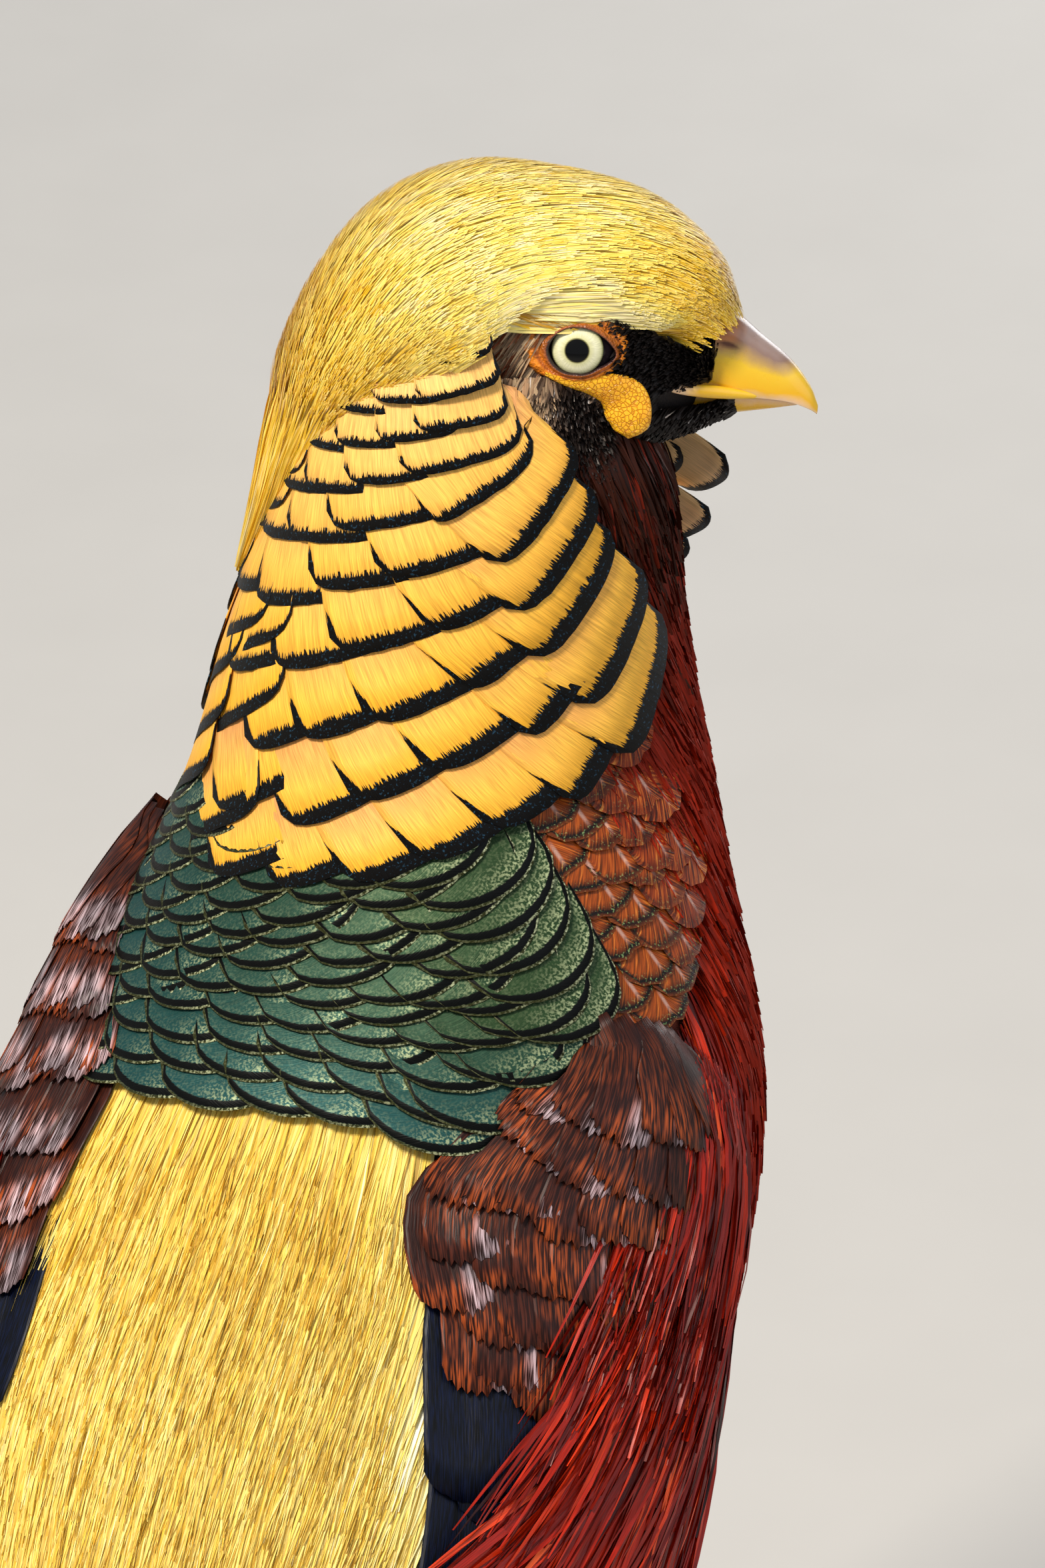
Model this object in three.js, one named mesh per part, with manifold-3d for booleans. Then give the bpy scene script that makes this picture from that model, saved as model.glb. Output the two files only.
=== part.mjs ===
// Golden pheasant cock, life size, standing upright with its head turned to its right.
// Millimetres. +X is the way the body faces, +Y its left, +Z up. The feet stand at z = 0.
import * as THREE from "three";
import { mergeVertices } from "three/addons/utils/BufferGeometryUtils.js";
import Module from "manifold-3d";

const wasm = await Module();
wasm.setup();

// Driving dimensions
const GAP = 0.3; // clear space between two pieces that meet
const SHINGLE = 0.55; // how far a feather's edges lie above and below its middle
const RUMP_HEIGHT = 125; // the tail root's centre above the floor
const HEAD_CENTRE = [65, -12, RUMP_HEIGHT + 203];
const HEAD_YAW = -75; // the head looks to the bird's right
const HEAD_PITCH = 2.5; // bill down
const HEAD_ROLL = -8; // right eye up
const EYE_RADIUS = 6.2;
const EYE_PLACE = [4, 11.6, 1]; // forward, to the side and up from the head's centre
const TAIL_LENGTH = 660;
const LEG_SPREAD = 30; // each leg's distance from the middle plane
const HOCK = [-28, 78]; // x and z of the joint above the shank
const SOLE = [-16, 0]; // x and z under the middle of the foot

// The body from tail root to nape: centre x, y, height above the tail root, pitch and twist in
// degrees, then half width, depth towards the back and depth towards the belly.
const STATIONS = [
  [-116, 0, 0, 16, 0, 20, 14, 15],
  [-92, 0, 7, 20, 0, 36, 26, 31],
  [-62, 0, 19, 29, 0, 48, 38, 48],
  [-28, 0, 40, 40, 0, 56, 47, 60],
  [4, -1, 68, 51, 0, 57, 48, 62],
  [27, -4, 99, 63, -6, 52, 43, 55],
  [41, -2, 129, 74, -24, 40, 37, 46],
  [50, 1, 156, 82, -46, 31, 31, 38],
  [55, 0, 180, 86, -64, 25, 25, 32],
  [58, 0, 197, 88, -70, 21, 21, 26],
];
const NECK_START = 6.2; // station where the neck leaves the torso
const NECK_END = 8.95;

// The head from nape to bill base: forward, height of the middle, half width, half height.
const HEAD_RINGS = [
  [-25, -3, 8, 9],
  [-20, -2, 13.5, 15],
  [-11, -1, 16.5, 19],
  [0, 0, 17, 20],
  [9, 0, 15.5, 18],
  [16, -1.5, 12.5, 14.5],
  [21, -3.5, 9.5, 10.5],
  [25, -4.5, 6.5, 7.5],
];
const MOUTH = [17, -7, 40, -8.4]; // the line between the two halves of the bill

const rad = THREE.MathUtils.degToRad;
const lerp = THREE.MathUtils.lerp;
const V = (x, y, z) => new THREE.Vector3(x, y, z);
const span = (count, from, to) => Array.from({ length: count + 1 }, (_, i) => lerp(from, to, i / count));
const turns = (sides) => Array.from({ length: sides }, (_, i) => (360 * i) / sides);

// A smooth curve through a list of numbers, straight on past both ends.
function through(list, u) {
  const last = list.length - 1;
  if (u < 0) return list[0] + (list[1] - list[0]) * u;
  if (u > last) return list[last] + (list[last] - list[last - 1]) * (u - last);
  const i = Math.min(Math.floor(u), last - 1);
  const t = u - i;
  const [b, c] = [list[i], list[i + 1]];
  const a = i > 0 ? list[i - 1] : 2 * b - c;
  const d = i + 2 <= last ? list[i + 2] : 2 * c - b;
  return 0.5 * (2 * b + (c - a) * t + (2 * a - 5 * b + 4 * c - d) * t * t + (3 * b - a - 3 * c + d) * t ** 3);
}

const column = (table, k) => table.map((row) => row[k]);

// Centre, directions and half sizes of the body at station u.
function station(u) {
  const [x, y, z, pitch, twist, half, back, belly] = STATIONS[0].map((_, k) => through(column(STATIONS, k), u));
  const along = V(Math.cos(rad(pitch)), 0, Math.sin(rad(pitch)));
  const up = V(-Math.sin(rad(pitch)), 0, Math.cos(rad(pitch))).applyAxisAngle(along, rad(twist));
  const left = V(0, 1, 0).applyAxisAngle(along, rad(twist));
  return { centre: V(x, y, RUMP_HEIGHT + z), along, up, left, half, back, belly };
}

// A point of the body's surface: turn is 0 on the back, 90 on the left side and -90 on the right.
function surface(u, turn) {
  const s = station(u);
  const deep = Math.cos(rad(turn));
  return s.centre
    .clone()
    .addScaledVector(s.up, deep * (deep > 0 ? s.back : s.belly))
    .addScaledVector(s.left, Math.sin(rad(turn)) * s.half);
}

function outward(u, turn) {
  const [du, dt] = [0.02, 1];
  const alongBody = surface(u + du, turn).sub(surface(u - du, turn));
  const aroundBody = surface(u, turn + dt).sub(surface(u, turn - dt));
  const n = aroundBody.cross(alongBody).normalize();
  return n.dot(surface(u, turn).sub(station(u).centre)) < 0 ? n.negate() : n;
}

const raised = (u, turn, height) => surface(u, turn).addScaledVector(outward(u, turn), height);

// Turns a closed mesh into a solid that can be joined and cut.
function toSolid(geometry) {
  const bare = geometry.clone();
  bare.deleteAttribute("normal");
  bare.deleteAttribute("uv");
  const joined = mergeVertices(bare, 1e-4);
  const at = joined.getAttribute("position").array;
  const tri = [];
  let volume = 0;
  for (let i = 0; i < joined.index.count; i += 3) {
    const corner = [0, 1, 2].map((k) => joined.index.array[i + k]);
    if (new Set(corner).size < 3) continue;
    const [p, q, r] = corner.map((k) => V(at[3 * k], at[3 * k + 1], at[3 * k + 2]));
    volume += p.dot(q.cross(r));
    tri.push(...corner);
  }
  if (volume < 0) tri.reverse();
  return new wasm.Manifold(
    new wasm.Mesh({ numProp: 3, vertProperties: new Float32Array(at), triVerts: new Uint32Array(tri) }),
  );
}

function solidFrom(points, faces) {
  const raw = new THREE.BufferGeometry();
  const flat = new Float32Array(points.flatMap((p) => [p.x, p.y, p.z]));
  raw.setAttribute("position", new THREE.BufferAttribute(flat, 3));
  raw.setIndex(faces);
  return toSolid(raw);
}

// A closed skin over rings of equally many points, with a fan over each end.
function skinOver(rings) {
  const n = rings[0].length;
  const points = rings.flat();
  const faces = [];
  for (let i = 0; i + 1 < rings.length; i++)
    for (let j = 0; j < n; j++) {
      const [a, b] = [i * n + j, i * n + ((j + 1) % n)];
      faces.push(a, b, b + n, a, b + n, a + n);
    }
  for (const i of [0, rings.length - 1]) {
    const middle = rings[i].reduce((sum, p) => sum.add(p), V(0, 0, 0)).divideScalar(n);
    points.push(middle);
    for (let j = 0; j < n; j++) {
      const [a, b] = [i * n + j, i * n + ((j + 1) % n)];
      faces.push(...(i ? [a, b, points.length - 1] : [b, a, points.length - 1]));
    }
  }
  return solidFrom(points, faces);
}

// A feather or lock: each row holds its left edge, upper face, right edge and lower face. Both
// faces are split the same way, so that a bent one never crosses itself.
function vane(rows) {
  const faces = [];
  const quad = (a, b, c, d) => faces.push(a, b, c, a, c, d);
  rows.slice(1).forEach((_, i) => {
    const [left, top, right, under] = [0, 1, 2, 3].map((k) => 4 * i + k);
    quad(left, top, top + 4, left + 4);
    quad(top, right, right + 4, top + 4);
    quad(left, left + 4, under + 4, under);
    quad(under, under + 4, right + 4, right);
  });
  const end = 4 * (rows.length - 1);
  quad(0, 3, 2, 1);
  quad(end, end + 1, end + 2, end + 3);
  return solidFrom(rows.flat(), faces);
}

// How the half width of a feather runs from root to tip: share of the length, share of the width.
const OUTLINE = {
  round: [
    [0, 0.4],
    [0.6, 1],
    [1, 0.5],
  ],
  square: [
    [0, 0.4],
    [0.45, 0.85],
    [0.9, 1],
    [1, 0.7],
  ],
  point: [
    [0, 0.4],
    [0.5, 1],
    [1, 0.08],
  ],
};

// A feather on the body: from its root to its tip in stations and turns, full width, and how far
// it lifts off the surface at both ends. One edge lies higher, so that neighbours overlap clear.
function bodyFeather(from, to, width, outline, lifts, thick = 0.4) {
  return vane(
    OUTLINE[outline].map(([t, share]) => {
      const [u, turn] = [lerp(from[0], to[0], t), lerp(from[1], to[1], t)];
      const perDegree = surface(u, turn + 2).distanceTo(surface(u, turn - 2)) / 4;
      const wide = (share * width) / 2 / perDegree;
      const lift = lerp(lifts[0], lifts[1], t ** 0.8);
      const half = thick * (1 - 0.35 * t);
      const shingle = SHINGLE * Math.min(1, 2 * t);
      return [
        raised(u, turn - wide, lift + shingle),
        raised(u, turn, lift + half),
        raised(u, turn + wide, lift - shingle),
        raised(u, turn, lift - half),
      ];
    }),
  );
}

// A repeatable random draw between -1 and 1.
let seed = 7;
function vary() {
  seed = (seed * 16807) % 2147483647;
  return (2 * seed) / 2147483647 - 1;
}

const stationLength = (u, turn) => surface(u + 0.1, turn).distanceTo(surface(u - 0.1, turn)) / 0.2;

// One body of a solid: the largest, without loose scraps or sealed hollows.
function largest(solid) {
  return solid.decompose().reduce((best, body) => (body.volume() > best.volume() ? body : best));
}

const joinAll = (solids) => solids.reduce((sum, one) => sum.add(one));

function geometryOf(solid) {
  const mesh = solid.getMesh();
  const at = new Float32Array(mesh.numVert * 3);
  for (let i = 0; i < mesh.numVert; i++)
    at.set(mesh.vertProperties.subarray(i * mesh.numProp, i * mesh.numProp + 3), i * 3);
  const geometry = new THREE.BufferGeometry();
  geometry.setAttribute("position", new THREE.BufferAttribute(at, 3));
  geometry.setIndex(new THREE.BufferAttribute(new Uint32Array(mesh.triVerts), 1));
  geometry.computeVertexNormals();
  return geometry;
}

const material = (color, roughness, metalness = 0) =>
  new THREE.MeshStandardMaterial({ color, roughness, metalness, flatShading: true });

const FINISH = {
  gold: material("#f2c81e", 0.55),
  cape: material("#f5b440", 0.6),
  scarlet: material("#a8331a", 0.6),
  maroon: material("#5a2418", 0.45, 0.1),
  tail: material("#7a5230", 0.6),
  thigh: material("#b06a34", 0.7),
  horn: material("#e8b820", 0.35),
  scaleSkin: material("#c9ac62", 0.5),
  claw: material("#5c4a3a", 0.4),
  wattle: material("#f0a818", 0.45),
  eye: material("#dadab0", 0.1),
};

const bird = new THREE.Group();
const headFrame = new THREE.Group();
headFrame.position.set(...HEAD_CENTRE);
headFrame.rotation.set(rad(HEAD_ROLL), rad(HEAD_PITCH), rad(HEAD_YAW), "ZYX");
headFrame.updateMatrix();
bird.add(headFrame);

function piece(name, solid, finish, parent = bird) {
  const mesh = new THREE.Mesh(geometryOf(largest(solid)), FINISH[finish]);
  mesh.name = name;
  parent.add(mesh);
}

// A stretch of the body between two stations, grown all round.
function bodyLength(from, to, grow, steps, sides = 28) {
  return skinOver(span(steps, from, to).map((u) => turns(sides).map((turn) => raised(u, turn, grow))));
}

// A limb of round sections: each is a place, a radius and how much narrower it is sideways.
function limb(sections, grow = 0, sides = 10) {
  const path = new THREE.CatmullRomCurve3(sections.map(([place]) => V(...place)));
  const last = sections.length - 1;
  return skinOver(
    sections.map(([place, radius, narrow = 1], i) => {
      const along = path.getTangent(i / last);
      const side = V(0, 1, 0).cross(along).normalize();
      const across = along.clone().cross(side).normalize();
      const past = i === 0 ? -grow : i === last ? grow : 0;
      return turns(sides).map((turn) =>
        V(...place)
          .addScaledVector(along, past)
          .addScaledVector(side, Math.cos(rad(turn)) * (radius + grow))
          .addScaledVector(across, Math.sin(rad(turn)) * (radius * narrow + grow)),
      );
    }),
  );
}

const aboveFloor = () => {
  const box = new THREE.BoxGeometry(2000, 400, 400);
  box.translate(-400, 0, 200);
  return toSolid(box);
};

// The head

function headCore(grow, sides = 20) {
  return HEAD_RINGS.map(([x, z, half, high]) =>
    turns(sides).map((turn) =>
      V(
        x + (grow * x) / 25,
        Math.sin(rad(turn)) * (half + grow),
        z + Math.cos(rad(turn)) * (high + grow),
      ),
    ),
  );
}

const inBird = (rings) => rings.map((ring) => ring.map((p) => p.clone().applyMatrix4(headFrame.matrix)));

// The crest's outer line over the middle of the head, from the forehead back and down the nape:
// forward, up, then half width and drop of its side edge.
const CREST_LINE = [
  [28, 4, 8, 5],
  [24.5, 13.5, 13.5, 10],
  [13.5, 23, 18, 15],
  [-3, 25.5, 19, 19],
  [-16, 23.5, 19, 22],
  [-28, 16, 18, 20],
  [-37, 2, 16, 15],
  [-42, -14, 12, 9],
  [-45, -32, 7, 4],
];

// A point of the crest: s runs from 0 at the forehead to 1 at the tail, turn from -90 to 90 across.
function crestPoint(s, turn, height) {
  const at = s * (CREST_LINE.length - 1);
  const mid = (u) => V(through(column(CREST_LINE, 0), u), 0, through(column(CREST_LINE, 1), u));
  const [half, drop] = [2, 3].map((k) => through(column(CREST_LINE, k), at));
  const back = mid(at + 0.05).sub(mid(at - 0.05)).normalize();
  const lift = V(0, 1, 0).cross(back);
  return mid(at)
    .addScaledVector(V(0, 1, 0), Math.sin(rad(turn)) * (half + height))
    .addScaledVector(lift, height - (1 - Math.cos(rad(turn))) * (drop + height));
}

const crestSteps = span(10, 0.02, 1);

// The crest's closed form between two heights; its tail is thinner, and it is cut off at s = reach.
function crestRings(outer, inner, reach, across = span(8, -88, 88)) {
  const steps = crestSteps.filter((s) => s <= reach);
  return (reach > 1 ? [...steps, reach] : steps).map((s) => {
    const deep = inner < outer - 9 ? inner : lerp(inner, outer - 1.5, Math.max(0, s - 0.6) / 0.4);
    return [
      ...across.map((turn) => crestPoint(s, turn, outer)),
      ...across
        .slice()
        .reverse()
        .map((turn) => crestPoint(s, turn, deep)),
    ];
  });
}

// One lock of the crest, lying along it from s0 to s1 at a turn, its width in millimetres.
function crestLock(s0, s1, turn0, turn1, width, lift) {
  const rows = [
    [0, 0.3, 0],
    [0.35, 1, 0.6],
    [0.75, 0.75, 0.92],
    [1, 0.06, 1],
  ];
  return vane(
    rows.map(([t, share, rise]) => {
      const [s, turn] = [lerp(s0, s1, t), lerp(turn0, turn1, t)];
      const perDegree = crestPoint(s, turn + 3, 0).distanceTo(crestPoint(s, turn - 3, 0)) / 6;
      const wide = (share * width) / 2 / perDegree;
      const height = lerp(-3.6, lift, rise);
      const half = 0.6 * (1 - 0.5 * t);
      const shingle = SHINGLE * Math.min(1, 2 * t);
      return [
        crestPoint(s, turn - wide, height + shingle),
        crestPoint(s, turn, height + half),
        crestPoint(s, turn + wide, height - shingle),
        crestPoint(s, turn, height - half),
      ];
    }),
  );
}

function crestLocks() {
  const tiers = [
    [0.05, 0.5, 7, 0.9],
    [0.22, 0.78, 8, 0.5],
    [0.44, 1.02, 7, 0.2],
  ];
  return tiers.flatMap(([s0, s1, count, lift]) =>
    span(count - 1, -76, 76).map((turn) => {
      const end = s1 + vary() * 0.05;
      return crestLock(s0, end, turn, turn * 0.88 + 2 * vary(), 9 + 0.5 * vary(), lift);
    }),
  );
}

const eyeball = (side, grow = 0) => {
  const ball = new THREE.SphereGeometry(EYE_RADIUS + grow, 12, 8);
  ball.translate(EYE_PLACE[0], side * EYE_PLACE[1], EYE_PLACE[2]);
  return toSolid(ball);
};

// A rounded form with three half sizes, tipped nose down by an angle.
function bulge(at, sizes, tilt = 0) {
  const ball = new THREE.SphereGeometry(1, 8, 5);
  ball.scale(...sizes);
  ball.rotateY(rad(tilt));
  ball.translate(...at);
  return toSolid(ball);
}

// The rim of skin round an eye, lens shaped in section.
function lids(side) {
  const profile = [
    [4.1, 4.2],
    [5.2, 5.0],
    [6.6, 3.6],
    [6.6, 1.5],
    [4.1, 1.5],
    [4.1, 4.2],
  ].map(([r, h]) => new THREE.Vector2(r, h));
  const ring = new THREE.LatheGeometry(profile, 18);
  if (side < 0) ring.rotateX(Math.PI);
  ring.translate(EYE_PLACE[0], side * (EYE_PLACE[1] + 0.6), EYE_PLACE[2]);
  return toSolid(ring);
}

function upperBill(grow = 0) {
  const tops = [
    [16, 2.5, 4.6],
    [21, 3.4, 5.4],
    [26, 3.1, 4.7],
    [31, 0.3, 3.8],
    [35.5, -2.9, 2.6],
    [38.6, -6.6, 1.4],
    [39.8, -9.3, 0.5],
  ];
  return skinOver(
    tops.map(([x, top, half]) => {
      const under = x > 39 ? -10.4 : mouthLine(x) + GAP / 2 - (x > 37 ? 1 : 0);
      return turns(12).map((turn) => {
        const [s, c] = [Math.sin(rad(turn)), Math.cos(rad(turn))];
        const z = c > 0 ? lerp(under + 1, top, c ** 0.8) : lerp(under + 1, under, Math.min(1, -3 * c));
        return V(x, s * (half + grow), z + Math.sign(c) * grow);
      });
    }),
  );
}

const mouthLine = (x) => lerp(MOUTH[1], MOUTH[3], (x - MOUTH[0]) / (MOUTH[2] - MOUTH[0]));

function lowerBill(grow = 0) {
  const bottoms = [
    [15, -12.6, 4.6],
    [21, -12.4, 4.8],
    [27, -11.6, 4.1],
    [32, -10.6, 3.0],
    [36.4, -9.4, 1.4],
  ];
  return skinOver(
    bottoms.map(([x, bottom, half]) => {
      const top = mouthLine(x) - GAP / 2;
      return turns(12).map((turn) => {
        const [s, c] = [Math.sin(rad(turn)), Math.cos(rad(turn))];
        const z = c < 0 ? lerp(top - 0.4, bottom, -c) : lerp(top - 0.4, top, Math.min(1, 3 * c));
        return V(x, s * (half + grow), z + Math.sign(c) * grow);
      });
    }),
  );
}

// The upper half of the bill with the swelling over each nostril and the slit under it.
function upperBillWithNostrils() {
  let bill = upperBill();
  for (const side of [-1, 1])
    bill = bill
      .add(bulge([27.8, side * 3.4, -0.8], [2.6, 1.6, 1.5], 20))
      .subtract(bulge([28, side * 5.2, -2.2], [2.0, 1.3, 0.5], 20));
  return bill;
}

// A wattle hangs as a flat lobe from under the eye, folded across.
function wattle(side) {
  const rows = [
    [9.6, -4.6, 1.8, 1.2],
    [10.8, -6.4, 3.0, 1.6],
    [11.8, -8.4, 3.3, 1.3],
    [12.3, -10.4, 3.1, 1.6],
    [12.5, -12.0, 2.2, 1.2],
    [12.5, -13.0, 0.9, 0.7],
  ];
  return skinOver(
    rows.map(([x, z, long, thick]) =>
      turns(8).map((turn) =>
        V(x + Math.cos(rad(turn)) * long, side * (14.8 + Math.sin(rad(turn)) * thick), z),
      ),
    ),
  );
}

// A point on the side of the head: turn is 0 at the top and 180 at the chin.
function headSide(x, side, turn, height) {
  const at = HEAD_RINGS.findIndex((ring) => ring[0] > x);
  const [low, high] = [HEAD_RINGS[at - 1], HEAD_RINGS[at]];
  const [mid, half, tall] = [1, 2, 3].map((k) => lerp(low[k], high[k], (x - low[0]) / (high[0] - low[0])));
  return V(x, side * Math.sin(rad(turn)) * (half + height), mid + Math.cos(rad(turn)) * (tall + height));
}

// The first feathers of the cape, which grow on the head behind the ear.
function earFeathers(side) {
  return [0, 1].flatMap((row) =>
    span(2 - row, 0, 1).map((k) => {
      const x = lerp(-18.5, -8.5, k) - row;
      const [root, tip] = [52 + 18 * row, 84 + 16 * row];
      return vane(
        OUTLINE.square.map(([t, share]) => {
          const turn = lerp(root, tip, t);
          const height = lerp(-1.2, 2.2, t);
          const wide = 4 * share;
          return [
            headSide(x - 1.5 * t - wide, side, turn, height + SHINGLE * t),
            headSide(x - 1.5 * t, side, turn, height + 0.4),
            headSide(x - 1.5 * t + wide, side, turn, height - SHINGLE * t),
            headSide(x - 1.5 * t, side, turn, height - 0.4),
          ];
        }),
      );
    }),
  );
}

const skull = skinOver(headCore(0));
const grownSkull = skinOver(inBird(headCore(GAP + 0.05)));
const crestCore = skinOver(crestRings(-2.6, -7, 0.9));

let head = joinAll([skull, crestCore, ...crestLocks(), ...earFeathers(-1), ...earFeathers(1)]);
for (const side of [-1, 1]) head = head.add(lids(side)).subtract(eyeball(side, GAP));
head = head.subtract(upperBill(GAP)).subtract(lowerBill(GAP));
piece("head", head, "gold", headFrame);
piece("bill_upper", upperBillWithNostrils(), "horn", headFrame);
piece("bill_lower", lowerBill(), "horn", headFrame);
for (const [side, word] of [
  [-1, "right"],
  [1, "left"],
]) {
  piece("eye_" + word, eyeball(side), "eye", headFrame);
  piece("wattle_" + word, wattle(side).subtract(skinOver(headCore(GAP))), "wattle", headFrame);
}

// The torso, neck and wings

// Station, then the turns of the wing's upper and lower edges.
const WING_EDGES = [
  [5.15, 60, 76],
  [4.8, 44, 80],
  [4.3, 32, 82],
  [3.7, 38, 84],
  [3.0, 48, 86],
  [2.2, 54, 87],
  [1.4, 58, 85],
  [0.7, 62, 82],
  [0.15, 67, 79],
];

// How far the left wing's shoulder stands off the body and lies forward of the right one's.
const held = (side, u) => (side > 0 ? 7 * Math.max(0, Math.min(1, (u - 2.5) / 2.5)) : 0);
const ahead = (side, u) => (side > 0 ? 0.45 * Math.max(0, u - 3.5) / 1.6 : 0);

function wingPlate(side, grow) {
  const last = WING_EDGES.length - 1;
  return skinOver(
    WING_EDGES.map(([u, top, bottom], i) => {
      const end = i === 0 ? 1 : i === last ? -1 : 0;
      const at = u + ahead(side, u) + end * grow * 0.05;
      const across = span(4, top - grow, bottom + grow);
      const rise = 4 * Math.min(1, (last - i + 0.8) / 3) + held(side, u);
      const crown = (k) => 1 + rise * Math.sin((Math.PI * k) / 4);
      return [
        ...across.map((turn, k) => raised(at, side * turn, crown(k) + 12 * Math.sign(grow))),
        ...across.reverse().map((turn) => raised(at, side * turn, -1.2 - grow)),
      ];
    }),
  );
}

// Tiers of the wing from the shoulder back: root station, turns of the first and last feather, how
// many, length in stations, turns of the first and last tip, width, outline and lifts.
const WING_TIERS = [
  [5.0, 63, 71, 2, 0.6, 56, 70, 16, "round", [1.5, 6.2]],
  [4.7, 50, 74, 3, 0.66, 47, 73, 17, "round", [1.5, 6.6]],
  [4.3, 40, 75, 4, 0.66, 40, 74, 17, "round", [1.5, 6.8]],
  [3.9, 40, 76, 4, 0.9, 44, 73, 17, "round", [1.5, 6.6]],
  [3.3, 46, 78, 4, 1.9, 58, 74, 18, "round", [1.5, 6.2]],
  [2.0, 60, 79, 4, 1.9, 68, 76, 11, "point", [1.5, 4.8]],
];

function wing(side) {
  const feathers = WING_TIERS.flatMap(([root, first, last, count, length, tip0, tip1, width, outline, lifts]) =>
    span(count - 1, 0, 1).map((k) => {
      const long = length * (1 + 0.04 * vary() + 0.06 * Math.sin(Math.PI * k));
      const tip = Math.max(0.08, root - long);
      const from = [root + ahead(side, root), side * lerp(first, last, k)];
      const to = [tip + ahead(side, tip), side * lerp(tip0, tip1, k)];
      const off = (u) => held(side, u) * Math.sin(Math.PI * lerp(0.25, 0.75, k));
      const rise = [lifts[0] + off(root), lifts[1] + off(tip)];
      return bodyFeather(from, to, width + vary(), outline, rise.map((v) => v + 0.2 * vary()));
    }),
  );
  return joinAll([wingPlate(side, 0), ...feathers]);
}

// The mantle's lower edge, in stations, at a turn.
const mantleHem = (turn) => 4.42 + 0.75 * (turn / 58) ** 2;

function mantle() {
  return span(3, 0.25, 1).flatMap((share, row) =>
    span(row % 2 ? 3 : 4, -47, 47).map((turn) => {
      const tip = lerp(5.85, mantleHem(turn), share) + 0.02 * vary();
      const root = Math.min(6.08, tip + 0.66);
      return bodyFeather([root, turn * 0.98], [tip, turn + vary()], 23, "round", [-1.4, 2.4]);
    }),
  );
}

function rump() {
  return span(4, 4.45, 1.3).flatMap((root, row) =>
    span(row % 2 ? 2 : 3, -1, 1).map((k) => {
      const spread = Math.min(40, 24 + 6 * row);
      const turn = k * spread + vary() * 2;
      return bodyFeather([root, turn], [root - 1.15, turn * 0.95], 19, "point", [-1.4, 2.2]);
    }),
  );
}

// Long scarlet feathers of the flank, below the folded wing.
function flank(side) {
  return span(3, 4.7, 2.6).flatMap((root, row) =>
    span(2, 107, 125).map((turn) => {
      const to = [root - 1.1 + 0.1 * vary(), side * (turn - 5 + vary())];
      return bodyFeather([root, side * turn], to, 12, "point", [-1.4, 7]);
    }),
  );
}

let torso = bodyLength(-0.2, NECK_START - 0.012, 0, 15, 24);
torso = joinAll([torso, ...mantle(), ...rump(), ...flank(1), ...flank(-1)]);
for (const side of [-1, 1]) torso = torso.subtract(wingPlate(side, GAP));

// The hem of the cape, in stations, at a turn: lowest on the back, highest on the throat.
const capeHem = (turn) => 5.95 + 0.575 * (1 - Math.cos(rad(turn + 20)));

function cape() {
  const rows = 6;
  return span(rows - 1, 1, rows).flatMap((row) => {
    const around = [88, 112, 132, 146, 150, 150][row - 1];
    const count = [5, 7, 9, 10, 10, 10][row - 1];
    return span(count - 1, -around, around).map((at) => {
      const turn = at + (row % 2 ? 4 : -4) + vary();
      const tip = lerp(8.9, capeHem(turn), row / rows) + 0.015 * vary();
      const long = (17 + 1.4 * row) / stationLength(tip + 0.3, turn);
      return bodyFeather([Math.min(8.94, tip + long), turn], [tip, turn], 16 + 1.6 * row, "square", [-1.6, 3]);
    });
  });
}

// On the left the cape reaches round to the throat, where three of its feathers stand off.
function throatFeathers() {
  return span(2, 0, 2).map((i) => {
    const [u, turn] = [7.92 - 0.3 * i, 166 - 3 * i];
    return bodyFeather([u + 0.55, turn - 30], [u, turn], 17, "square", [-1.6, 11 - 1.5 * i]);
  });
}

let neck = joinAll([bodyLength(NECK_START, NECK_END, 0, 6, 24), ...cape(), ...throatFeathers()]);
neck = neck.subtract(grownSkull).subtract(skinOver(inBird(crestRings(8, -7.5 - GAP, 1.08, span(8, -100, 100)))));

piece("torso", torso, "scarlet");
piece("neck", neck, "cape");
piece("wing_right", wing(-1), "maroon");
piece("wing_left", wing(1), "maroon");

// The tail

const tailCurve = new THREE.QuadraticBezierCurve3(
  V(-112, 0, RUMP_HEIGHT),
  V(-112 - TAIL_LENGTH * 0.45, 0, RUMP_HEIGHT - TAIL_LENGTH * 0.117),
  V(-112 - TAIL_LENGTH * 0.98, 0, -3),
);

// A place on the tail: d is the distance from its root; across and out turn with the tilt.
function tailFrame(d, tilt) {
  const t = THREE.MathUtils.clamp(d / TAIL_LENGTH, 0, 1);
  const back = tailCurve.getTangentAt(t);
  const mid = tailCurve.getPointAt(t).addScaledVector(back, Math.min(0, d));
  const across = V(0, 1, 0).applyAxisAngle(back, rad(tilt));
  const out = across.clone().cross(back).normalize();
  return { mid, across, out: out.z < 0 ? out.negate() : out };
}

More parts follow.
